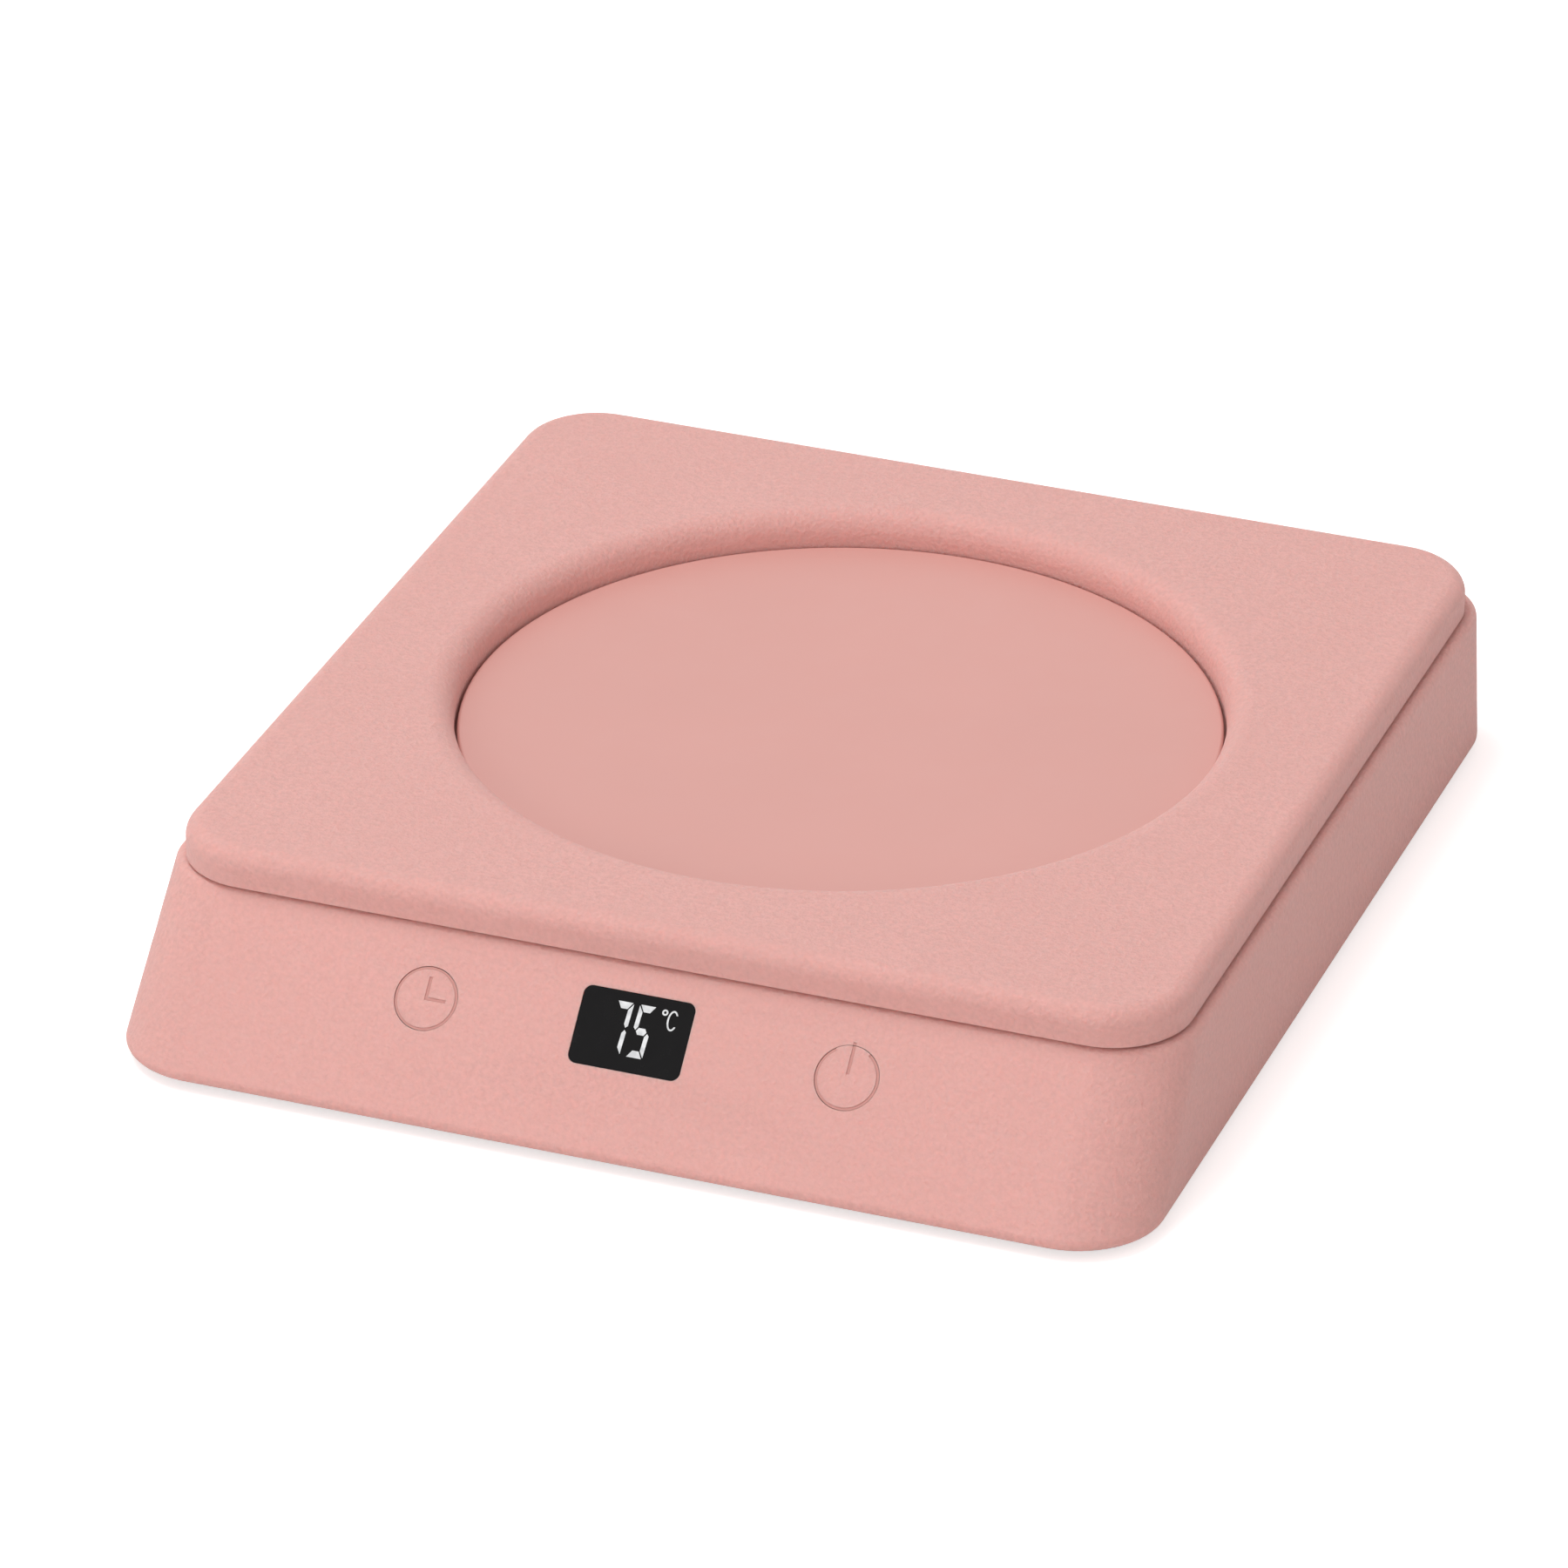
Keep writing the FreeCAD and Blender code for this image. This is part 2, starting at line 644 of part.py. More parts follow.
def make_base_shell():
    body = new_body("base_shell")
    foot_half, foot_line, _ = case_sides("shell_bottom", "0")
    rim_half, rim_line, _ = case_sides("rim_top", "0")
    face = new_sketch(body, "cross_outline", plane="XZ_Plane")
    draw_polygon(face, [(f"-({foot_half})", "shell_bottom"), (foot_half, "shell_bottom"),
                        (rim_half, "rim_top"), (f"-({rim_half})", "rim_top")])
    pad(body, "length", face, "2 * overall_depth", both_ways=True)
    profile = new_sketch(body, "side_outline", plane="YZ_Plane")
    draw_polygon(profile, [(foot_line, "shell_bottom"), ("back", "shell_bottom"), ("back", "rim_top"),
                           (rim_line, "rim_top")])
    draw_box(profile, "-2 * overall_depth", "2 * overall_depth", "-shell_height", "2 * shell_height")
    pocket(body, "side_trim", profile, "2 * foot_width", both_ways=True)
    corners = [round_corner(body, "front_corner", front=True),
               round_corner(body, "back_corner", front=False)]
    mirror = body.newObject("PartDesign::Mirrored", "corner_mirror")
    mirror.Originals = corners
    mirror.MirrorPlane = (origin_part(body, "YZ_Plane"), [""])
    settle(body, mirror)
    round_edges(body, "shoulder", "shoulder_round", edges_at("rim_top"))
    round_edges(body, "foot_edge", "foot_round", edges_at("shell_bottom"))
    hollow = "PartDesign::SubtractiveLoft"
    wall = "shell_wall"
    ledge = "shell_wall + ledge_width"
    shelf = "shell_wall + shelf_width"
    ledge_top = "floor_top + ledge_height"
    loft(body, hollow, "floor_seat", ("shell_bottom", wall), ("floor_top", wall))
    loft(body, hollow, "ledge_mouth", ("floor_top", ledge), (ledge_top, ledge))
    loft(body, hollow, "chamber", (ledge_top, wall), ("shelf_bottom", wall))
    loft(body, hollow, "shelf_mouth", ("shelf_bottom", shelf), ("tongue_bottom", shelf))
    loft(body, hollow, "tongue_seat", ("tongue_bottom", wall), ("rim_top", wall))

    window = panel_sketch(body, "window_seat_outline")
    edge = "window_clearance"
    half_x, half_y = f"(window_width / 2 + {edge})", f"(window_height / 2 + {edge})"
    draw_rounded(window, f"display_x - {half_x}", f"display_x + {half_x}", f"display_up - {half_y}",
                 f"display_up + {half_y}", f"window_corner + {edge}")
    pocket(body, "window_seat", window, "window_thickness")
    mouth = panel_sketch(body, "window_mouth_outline")
    half_x, half_y = "(window_width / 2 - window_land)", "(window_height / 2 - window_land)"
    draw_box(mouth, f"display_x - {half_x}", f"display_x + {half_x}", f"display_up - {half_y}",
             f"display_up + {half_y}")
    pocket(body, "window_mouth", mouth, "shell_wall * 1.5")

    bores = panel_sketch(body, "key_bore_outline")
    for key_x in ("timer_key_x", "power_key_x"):
        draw_circle(bores, "key_radius + key_clearance", key_x, "key_up")
    pocket(body, "key_bores", bores, "shell_wall * 1.5")
    bar = panel_sketch(body, "power_bar_outline")
    draw_box(bar, "power_key_x - sign_stroke / 2", "power_key_x + sign_stroke / 2",
             "key_up + key_radius - sign_stroke", "key_up + key_radius + key_clearance + bar_over")
    pocket(body, "power_bar", bar, "sign_depth")

    posts = panel_sketch(body, "front_post_outline", "front_board_depth")
    for side in ("", "-"):
        draw_circle(posts, "front_post_radius", f"{side}front_post_x", "display_up")
    pad(body, "front_posts", posts, "front_board_depth - shell_wall / 2")
    pilots = panel_sketch(body, "front_pilot_outline", "front_board_depth")
    for side in ("", "-"):
        draw_circle(pilots, "small_screw_radius + thread_clearance", f"{side}front_post_x", "display_up")
    pocket(body, "front_pilots", pilots, "front_screw_grip + thread_clearance", upwards=True)

    inlet = new_sketch(body, "inlet_outline", plane="XZ_Plane", offset="-(back - 2 * shell_wall)")
    edge = "socket_clearance"
    draw_rounded(inlet, f"-socket_width / 2 - {edge}", f"socket_width / 2 + {edge}",
                 f"board_top - {edge}", f"board_top + socket_height + {edge}",
                 "socket_height / 2")
    pocket(body, "inlet", inlet, "3 * shell_wall")
    return keep(body)


# Top cover: the square plate with the recess, its collar, tongue and screw bosses

def four_corners(x, y):
    return [(f"{sx}({x})", f"{sy}({y})") for sx in ("", "-") for sy in ("", "-")]


def ring_spots():
    """The four screw places on the heater's boss ring."""
    return four_corners("tray_boss_ring * cos(45)", "tray_boss_ring * sin(45)")


def make_top_cover():
    body = new_body("top_cover", y="cover_centre")
    plan = new_sketch(body, "rim_outline", offset="cover_bottom")
    draw_rounded(plan, "-cover_width / 2", "cover_width / 2", "-cover_depth / 2", "cover_depth / 2",
                 "cover_corner")
    pad(body, "rim", plan, "cover_rim_height")
    round_edges(body, "top_edge", "cover_edge_round", edges_at("cover_top"))
    tongue = new_sketch(body, "tongue_outline", offset="cover_bottom")
    draw_rounded(tongue, "-tongue_half", "tongue_half", "tongue_front", "tongue_back", "tongue_corner")
    pad(body, "tongue", tongue, "tongue_height", downwards=True)
    cavity = new_sketch(body, "cavity_outline", offset="skin_bottom")
    draw_rounded(cavity, "-(tongue_half - tongue_wall)", "tongue_half - tongue_wall",
                 "tongue_front + tongue_wall", "tongue_back - tongue_wall", "tongue_corner - tongue_wall")
    pocket(body, "cavity", cavity, "skin_bottom - tongue_bottom")

    collar = new_sketch(body, "collar_outline", offset="collar_bottom")
    draw_circle(collar, "collar_radius")
    pad(body, "collar", collar, "skin_bottom + cover_skin / 2 - collar_bottom")
    tray_bosses = new_sketch(body, "tray_boss_outline", offset="plate_bottom")
    for x, y in ring_spots():
        draw_circle(tray_bosses, "tray_boss_radius", x, y)
    pad(body, "tray_bosses", tray_bosses, "skin_bottom + cover_skin / 2 - plate_bottom")
    case_bosses = new_sketch(body, "case_boss_outline", offset="post_top")
    for x, y in four_corners("case_screw_x", "case_screw_y"):
        draw_circle(case_bosses, "post_radius", x, y)
    pad(body, "case_bosses", case_bosses, "skin_bottom + cover_skin / 2 - post_top")

    recess = new_sketch(body, "recess_outline", offset="cover_top")
    draw_circle(recess, "recess_radius")
    pocket(body, "recess", recess, "2 * (cover_top - collar_bottom)")

    def lip_edge(edge):
        flat = edges_at("cover_top")(edge)
        return flat and abs(edge.BoundBox.XLength / 2 - value("recess_radius")) < 1e-3
    round_edges(body, "lip", "lip_round", lip_edge)

    pilots = new_sketch(body, "tray_pilot_outline", offset="plate_bottom")
    for x, y in ring_spots():
        draw_circle(pilots, "tray_screw_radius + thread_clearance", x, y)
    pocket(body, "tray_pilots", pilots, "tray_screw_length - tray_gauge + thread_clearance", upwards=True)
    case_pilots = new_sketch(body, "case_pilot_outline", offset="post_top")
    for x, y in four_corners("case_screw_x", "case_screw_y"):
        draw_circle(case_pilots, "case_screw_radius + thread_clearance", x, y)
    reach = "case_floor + counterbore_depth + case_screw_length - post_top + thread_clearance"
    pocket(body, "case_pilots", case_pilots, reach, upwards=True)
    return keep(body)


# Bottom cover with its posts, standoffs, vents and foot pockets

def case_screw_spots():
    return [(x, f"cover_centre + {y}") for x, y in four_corners("case_screw_x", "case_screw_y")]


def board_screw_spots():
    rows = ("board_screw_front", "board_screw_back")
    return [(f"{side}board_hole_x", row) for side in ("", "-") for row in rows]


def foot_spots():
    rows = {"front": "-overall_depth / 2 + foot_front_inset", "back": "back - foot_back_inset"}
    sides = {"left": "-foot_x", "right": "foot_x"}
    return {f"{row}_{side}": (x, y) for row, y in rows.items() for side, x in sides.items()}


def make_bottom_cover():
    body = new_body("bottom_cover")
    inset = "shell_wall + floor_clearance"
    loft(body, "PartDesign::AdditiveLoft", "floor", ("case_floor", inset), ("floor_top", inset))
    posts = new_sketch(body, "post_outline", offset="floor_top - floor_thickness / 2")
    for x, y in case_screw_spots():
        draw_circle(posts, "post_radius", x, y)
    pad(body, "posts", posts, "post_height + floor_thickness / 2")
    standoffs = new_sketch(body, "standoff_outline", offset="floor_top - floor_thickness / 2")
    for x, y in board_screw_spots():
        draw_circle(standoffs, "standoff_radius", x, y)
    pad(body, "standoffs", standoffs, "standoff_height + floor_thickness / 2")

    heads = new_sketch(body, "counterbore_outline", offset="case_floor")
    holes = new_sketch(body, "case_hole_outline", offset="case_floor")
    for x, y in case_screw_spots():
        draw_circle(heads, "counterbore_radius", x, y)
        draw_circle(holes, "case_screw_radius + screw_hole_clearance", x, y)
    pocket(body, "counterbores", heads, "counterbore_depth", upwards=True)
    pocket(body, "case_holes", holes, "post_top - case_floor", upwards=True)
    pilots = new_sketch(body, "board_pilot_outline", offset="board_bottom")
    for x, y in board_screw_spots():
        draw_circle(pilots, "small_screw_radius + thread_clearance", x, y)
    pocket(body, "board_pilots", pilots, "small_screw_grip + thread_clearance")
    seats = new_sketch(body, "foot_pocket_outline", offset="case_floor")
    for x, y in foot_spots().values():
        draw_circle(seats, "rubber_foot_radius + foot_pocket_clearance", x, y)
    pocket(body, "foot_pockets", seats, "foot_pocket_depth", upwards=True)

    slots = new_sketch(body, "vent_outline", offset="case_floor")
    first_x = "-vent_pitch * (vent_count - 1) / 2"
    for row in ("vent_row_front", "vent_row_front + vent_row_step"):
        draw_rounded(slots, f"{first_x} - vent_width / 2", f"{first_x} + vent_width / 2",
                     f"{row} - vent_length / 2", f"{row} + vent_length / 2", "vent_width * 0.49")
    vents = pocket(body, "vents", slots, "floor_thickness", upwards=True)
    pattern = body.newObject("PartDesign::LinearPattern", "vent_rows")
    pattern.Originals = [vents]
    pattern.Direction = (slots, ["H_Axis"])
    pattern.setExpression("Length", expand("vent_pitch * (vent_count - 1)"))
    pattern.setExpression("Occurrences", expand("vent_count"))
    settle(body, pattern)
    return keep(body)


def make_feet():
    top = "case_floor + foot_pocket_depth"
    edge = "rubber_foot_edge"
    for corner, (x, y) in foot_spots().items():
        body = new_body(f"rubber_foot_{corner}", x, y)
        revolve(body, "foot", [("0", "0"), (f"rubber_foot_radius - {edge}", "0"),
                               ("rubber_foot_radius", edge), ("rubber_foot_radius", top), ("0", top)])
        keep(body)


# Screws and rivets: a head, a shank above or below it and a cross recess in the head

def cross_screw(name, radius, length, head_radius, head_height):
    """A screw that points up, with its head's seat at height zero."""
    head = rod(f"{name}_head", head_radius, f"-({head_height})", "0")
    shank = rod(f"{name}_shank", radius, "0", length)
    arm, half = f"({head_radius}) * 0.6", f"({head_radius}) * 0.14"
    low, high = f"-({head_height})", f"-({head_height}) * 0.4"
    bars = (block(f"{name}_bar_1", (f"-{arm}", f"-{half}", low), (arm, half, high)),
            block(f"{name}_bar_2", (f"-{half}", f"-{arm}", low), (half, arm, high)))
    return cut(name, fuse(f"{name}_blank", head, shank), *bars)


def make_case_screws():
    master = cross_screw("case_screw", "case_screw_radius", "case_screw_length",
                         "case_screw_head_radius", "case_screw_head_height")
    seat = "case_floor + counterbore_depth"
    return keep(link_group("case_screws", master, [(x, y, seat) for x, y in case_screw_spots()]))


def make_tray_screws():
    master = cross_screw("tray_screw", "tray_screw_radius", "tray_screw_length",
                         "small_screw_head_radius", "small_screw_head_height")
    seat = "plate_bottom - tray_gauge"
    spots = [(x, f"cover_centre + {y}", seat) for x, y in ring_spots()]
    return keep(link_group("tray_screws", master, spots))


def upside_down(name, screw):
    """The same screw, pointing down."""
    turned = group(f"{name}_turned", screw)
    turned.Placement = Placement(Vector(), Rotation(Vector(1, 0, 0), 180))
    return group(name, turned)


def make_board_screws():
    screw = cross_screw("board_screw", "small_screw_radius", "board_thickness + small_screw_grip",
                        "small_screw_head_radius", "small_screw_head_height")
    master = upside_down("board_screw_down", screw)
    spots = [(x, y, "board_top") for x, y in board_screw_spots()]
    return keep(link_group("board_screws", master, spots))


def make_front_board_screws():
    master = cross_screw("front_board_screw", "small_screw_radius",
                         "front_board_thickness + front_screw_grip",
                         "small_screw_head_radius", "small_screw_head_height")
    depth = "-(front_board_depth + front_board_thickness)"
    spots = [(f"{side}front_post_x", "display_up", depth) for side in ("", "-")]
    return keep(link_group("front_board_screws", master, spots, on_panel=True))


# Heating plate and the stack under it

def make_heating_plate():
    body = new_body("heating_plate", y="cover_centre")
    edge = "plate_edge_round"
    revolve(body, "plate", [("0", "plate_bottom"), ("flange_radius", "plate_bottom"),
                            ("flange_radius", "flange_top"), ("plate_radius", "flange_top"),
                            ("plate_radius", "plate_top"), ("0", "plate_top")])

    def rim(item):
        return edges_at("plate_top")(item) and item.BoundBox.XLength > value("plate_radius")
    round_edges(body, "rim", edge, rim)
    return keep(body)


def make_plate_seal():
    body = new_body("plate_seal", y="cover_centre")
    inner, outer = "recess_radius + seal_inset", "flange_radius"
    revolve(body, "ring", [(inner, "flange_top"), (outer, "flange_top"),
                           (outer, "collar_bottom"), (inner, "collar_bottom")])
    return keep(body)


def lead_places():
    """The two heater terminals' places, from the plate's centre."""
    return [("fuse_x", "terminal_y"), ("fuse_x - terminal_spacing", "terminal_y")]


def disc(label, radius, low, thickness, holes):
    """A flat disc in the plate's frame with round holes."""
    body = new_body(label, y="cover_centre")
    plan = new_sketch(body, "outline", offset=low)
    draw_circle(plan, radius)
    for hole_radius, x, y in holes:
        draw_circle(plan, hole_radius, x, y)
    pad(body, "disc", plan, thickness)
    return keep(body)


def sensor_hole():
    return ("thermistor_radius + grommet_wall", "thermistor_x", "thermistor_y")


def lead_holes():
    return [("terminal_hole_radius", x, y) for x, y in lead_places()]


def make_heater_film():
    return disc("heater_film", "film_radius", "film_bottom", "film_thickness", [sensor_hole()])


def make_insulation_pad():
    return disc("insulation_pad", "pad_radius", "pad_bottom", "pad_thickness",
                [sensor_hole()] + lead_holes())


def rivet_spots():
    reach = "fuse_radius + clip_clearance + clip_gauge + clip_foot / 2"
    return [(f"fuse_x {sign} ({reach})", "fuse_y") for sign in ("+", "-")]


def make_heater_tray():
    body = new_body("heater_tray", y="cover_centre")
    flange_low = "plate_bottom - tray_gauge"
    revolve(body, "tray", [("0", "tray_bottom"), ("tray_outer", "tray_bottom"),
                           ("tray_outer", flange_low), ("tray_flange_radius", flange_low),
                           ("tray_flange_radius", "plate_bottom"), ("tray_inner", "plate_bottom"),
                           ("tray_inner", "pad_bottom"), ("0", "pad_bottom")])
    ears = new_sketch(body, "ear_outline", offset=flange_low)
    for x, y in ring_spots():
        draw_circle(ears, "tray_ear_radius", x, y)
    pad(body, "ears", ears, "tray_gauge")
    ear_holes = new_sketch(body, "ear_hole_outline", offset=flange_low)
    for x, y in ring_spots():
        draw_circle(ear_holes, "tray_screw_radius + screw_hole_clearance", x, y)
    pocket(body, "ear_holes", ear_holes, "tray_gauge", upwards=True)
    holes = new_sketch(body, "floor_hole_outline", offset="tray_bottom")
    draw_circle(holes, *sensor_hole())
    for hole in lead_holes():
        draw_circle(holes, *hole)
    for x, y in rivet_spots():
        draw_circle(holes, "rivet_radius", x, y)
    pocket(body, "floor_holes", holes, "tray_gauge", upwards=True)
    return keep(body)


# Temperature sensor, thermal fuse and their wires

def make_thermistor():
    body = new_body("thermistor", "thermistor_x", "cover_centre + thermistor_y")
    revolve(body, "bead", [("0", "thermistor_bottom"), ("thermistor_radius", "thermistor_bottom"),
                           ("thermistor_radius", "plate_bottom"), ("0", "plate_bottom")])
    return keep(body)


def make_thermistor_grommet():
    body = new_body("thermistor_grommet", "thermistor_x", "cover_centre + thermistor_y")
    inner, outer = "thermistor_radius", "thermistor_radius + grommet_wall"
    flange_low = "tray_bottom - grommet_flange_height"
    revolve(body, "sleeve", [(inner, flange_low), ("grommet_flange_radius", flange_low),
                             ("grommet_flange_radius", "tray_bottom"), (outer, "tray_bottom"),
                             (outer, "film_bottom"), (inner, "film_bottom")])
    return keep(body)


def make_thermal_fuse():
    """A round can lying along Y with a stiff pin at each end."""
    can = doc.addObject("Part::Cylinder", "fuse_can")
    pins = doc.addObject("Part::Cylinder", "fuse_pins")
    for item, radius, length in ((can, "fuse_radius", "fuse_length"),
                                 (pins, "fuse_pin_radius", "fuse_length + 2 * fuse_pin_length")):
        item.Placement = Placement(Vector(), Rotation(Vector(1, 0, 0), -90))
        item.setExpression("Radius", expand(radius))
        item.setExpression("Height", expand(length))
        place(item, "fuse_x", f"cover_centre + fuse_y - ({length}) / 2", "fuse_level")
    return keep(fuse("thermal_fuse", can, pins))


def make_fuse_clip():
    """A hat-shaped strap that holds the fuse up against the tray."""
    body = new_body("fuse_clip", "fuse_x", "cover_centre + fuse_y")
    profile = new_sketch(body, "strap_outline", plane="XZ_Plane", offset="-clip_length / 2")
    inner = "fuse_radius + clip_clearance"
    outer = f"{inner} + clip_gauge"
    end = f"{outer} + clip_foot"
    top, foot_low = "tray_bottom", "tray_bottom - clip_gauge"
    bridge_high = "fuse_level - fuse_radius"
    bridge_low = f"{bridge_high} - clip_gauge"
    right = [(inner, bridge_high), (inner, top), (end, top), (end, foot_low), (outer, foot_low),
             (outer, bridge_low)]
    left = [(f"-({x})", z) for x, z in reversed(right)]
    draw_polygon(profile, right + left)
    pad(body, "strap", profile, "clip_length")
    holes = new_sketch(body, "rivet_hole_outline", offset=foot_low)
    for sign in ("", "-"):
        draw_circle(holes, "rivet_radius", f"{sign}({outer} + clip_foot / 2)", "0")
    pocket(body, "rivet_holes", holes, "clip_gauge", upwards=True)
    return keep(body)


def make_clip_rivets():
    low = "tray_bottom - clip_gauge"
    head = rod("rivet_head", "rivet_head_radius", f"{low} - rivet_head_height", low)
    shank = rod("rivet_shank", "rivet_radius", low, "pad_bottom")
    master = fuse("clip_rivet", head, shank)
    spots = [(x, f"cover_centre + {y}", "0") for x, y in rivet_spots()]
    return keep(link_group("clip_rivets", master, spots))


def rounded_route(points, bend):
    """A wire of straight runs joined by tangent arcs of one radius."""
    edges = []
    start = points[0]
    for before, corner, after in zip(points, points[1:], points[2:]):
        come = (corner - before).normalize()
        leave = (after - corner).normalize()
        turn = come.getAngle(leave)
        setback = bend * math.tan(turn / 2)
        arc_start = corner - come * setback
        arc_end = corner + leave * setback
        inward = (leave - come).normalize()
        centre = corner + inward * (bend / math.cos(turn / 2))
        edges.append(Part.LineSegment(start, arc_start).toShape())
        edges.append(Part.Arc(arc_start, centre - inward * bend, arc_end).toShape())
        start = arc_end
    edges.append(Part.LineSegment(start, points[-1]).toShape())
    return Part.Wire(edges)


def wire_solid(points, radius, bend):
    """A round wire along a route."""
    route = rounded_route(points, bend)
    profile = Part.Wire([Part.makeCircle(radius, points[0], points[1] - points[0])])
    solid = route.makePipeShell([profile], True, False)
    expected = math.pi * radius ** 2 * route.Length
    if abs(solid.Volume - expected) > 0.01 * expected:
        raise RuntimeError("a wire's volume is off its route")
    return solid


def spot(x, y, z):
    return Vector(value(x), value(y), value(z))


def make_heater_leads():
    """Two wires from the film to the board, one of them through the fuse's pins."""
    radius, bend = value("heater_lead_radius"), value("lead_bend")
    start_y = "cover_centre + terminal_y"
    pin_reach = "fuse_length / 2 + fuse_pin_length"
    near, far = f"cover_centre + fuse_y - ({pin_reach})", f"cover_centre + fuse_y + {pin_reach}"
    plain_x = "fuse_x - terminal_spacing"
    plain = [spot(plain_x, start_y, "film_bottom"), spot(plain_x, start_y, "fuse_level"),
             spot(plain_x, "connector_front", "fuse_level")]
    to_fuse = [spot("fuse_x", start_y, "film_bottom"), spot("fuse_x", start_y, "fuse_level"),
               spot("fuse_x", near, "fuse_level")]
    from_fuse = [spot("fuse_x", far, "fuse_level"), spot("fuse_x", "connector_front", "fuse_level")]
    item = doc.addObject("Part::Feature", "heater_leads")
    item.Shape = Part.makeCompound([wire_solid(route, radius, bend) for route in (plain, to_fuse, from_fuse)])
    return keep(item)


def make_sensor_leads():
    radius, bend = value("sensor_lead_radius"), value("lead_bend") / 2
    wires = []
    for sign in ("+", "-"):
        x = f"thermistor_x {sign} sensor_lead_spacing / 2"
        y = "cover_centre + thermistor_y"
        route = [spot(x, y, "thermistor_bottom"), spot(x, y, "sensor_lead_level"),
                 spot(x, "connector_front", "sensor_lead_level")]
        wires.append(wire_solid(route, radius, bend))
    item = doc.addObject("Part::Feature", "sensor_leads")
    item.Shape = Part.makeCompound(wires)
    return keep(item)


# Control board and what is on it

def make_control_board():
    body = new_body("control_board")
    plan = new_sketch(body, "board_outline", offset="board_bottom")
    draw_box(plan, "-board_width / 2", "board_width / 2", "board_front", "board_back")
    for x, y in board_screw_spots():
        draw_circle(plan, "small_screw_radius + screw_hole_clearance", x, y)
    pad(body, "board", plan, "board_thickness")
    return keep(body)


def on_board(label, x, y, width, length, height):
    """A box-shaped component that stands on the board, centred on a place."""
    low = (f"{x} - {width} / 2", f"{y} - {length} / 2", "board_top")
    high = (f"{x} + {width} / 2", f"{y} + {length} / 2", f"board_top + {height}")
    return keep(block(label, low, high))


def make_board_parts():
    on_board("controller_chip", "0", "board_front + 26", "chip_side", "chip_side", "chip_height")
    on_board("heater_transistor", "-14", "board_front + 29", "transistor_width", "transistor_length",
             "transistor_height")
    on_board("inductor", "12", "board_front + 40", "inductor_side", "inductor_side", "inductor_height")
    cans = [rod(f"capacitor_{i}", "capacitor_radius", "board_top", "board_top + capacitor_height",
                f"{i} * capacitor_spacing - 6", "board_front + 38") for i in (0, 1)]
    keep(group("capacitors", *cans))
    keep(rod("buzzer", "buzzer_radius", "board_top", "board_top + buzzer_height", "13", "board_front + 27"))


def make_connectors():
    rear = "connector_front + connector_length"
    middle = "fuse_x - terminal_spacing / 2"
    half = "(terminal_spacing / 2 + heater_lead_radius + 1)"
    keep(block("heater_connector", (f"{middle} - {half}", "connector_front", "board_top"),
               (f"{middle} + {half}", rear, "fuse_level + connector_margin")))
    half = "(sensor_lead_spacing / 2 + sensor_lead_radius + 1)"
    keep(block("sensor_connector", (f"thermistor_x - {half}", "connector_front", "board_top"),
               (f"thermistor_x + {half}", rear, "sensor_lead_level + connector_margin")))
    front = "board_front + ribbon_connector_setback"
    keep(block("ribbon_connector", ("-front_connector_width / 2", front, "board_top"),
               ("front_connector_width / 2", f"{front} + connector_length",
                "board_top + ribbon_connector_height")))


def make_usb_socket():
    """A rounded metal shell with a contact tongue, open to the back."""
    body = new_body("usb_socket")
    mouth, rear = "back - socket_inset", "back - socket_inset - socket_length"
    middle = "board_top + socket_height / 2"
    shell = new_sketch(body, "shell_outline", plane="XZ_Plane", offset=f"-({mouth})")
    draw_rounded(shell, "-socket_width / 2", "socket_width / 2", "board_top", "board_top + socket_height",
                 "socket_height * 0.45")
    pad(body, "shell", shell, "socket_length")
    bore = new_sketch(body, "bore_outline", plane="XZ_Plane", offset=f"-({rear} + 2 * socket_wall)")
    wall = "socket_wall"
    draw_rounded(bore, f"-socket_width / 2 + {wall}", f"socket_width / 2 - {wall}",
                 f"board_top + {wall}", f"board_top + socket_height - {wall}",
                 f"socket_height * 0.45 - {wall}")
    pocket(body, "bore", bore, "socket_length")
    tongue = new_sketch(body, "tongue_outline", plane="XZ_Plane",
                        offset=f"-({rear} + 2 * socket_wall + socket_tongue_length)")
    draw_box(tongue, "-socket_tongue_width / 2", "socket_tongue_width / 2",
             f"{middle} - socket_tongue_height / 2", f"{middle} + socket_tongue_height / 2")
    pad(body, "tongue", tongue, "socket_tongue_length + socket_wall")
    return keep(body)


# Display: window, light segments, digit module

SEGMENTS_ON = {"first_digit_x": "abc", "second_digit_x": "afgcd"}


def segment_outline(name):
    """Corners of one segment of an upright digit about its centre, as numbers."""
    half_w, half_h = value("digit_width") / 2, value("digit_height") / 2
    bar, stroke, gap = value("digit_bar"), value("digit_stroke"), value("segment_gap")
    inner = half_w - stroke
    if name in "ad":
        outline = [(-half_w + gap, half_h), (half_w - gap, half_h), (inner - gap, half_h - bar),
                   (-inner + gap, half_h - bar)]
    elif name == "g":
        point = half_w - stroke / 2 - gap
        outline = [(-point, 0), (-inner + gap, bar / 2), (inner - gap, bar / 2), (point, 0),
                   (inner - gap, -bar / 2), (-inner + gap, -bar / 2)]
    else:
        outline = [(half_w, half_h - gap), (half_w, gap + stroke / 2), (half_w - stroke / 2, gap),
                   (inner, gap + bar / 2), (inner, half_h - bar - gap / 2)]
    flip_x = -1 if name in "ef" else 1
    flip_y = -1 if name in "cde" else 1
    return [(x * flip_x, y * flip_y) for x, y in outline]


def prism(outline, depth):
    """A flat prism from an outline in the window's face, reaching in by a depth."""
    points = [Vector(x, y, 0) for x, y in outline]
    face = Part.Face(Part.makePolygon(points + points[:1]))
    return face.extrude(Vector(0, 0, -depth))


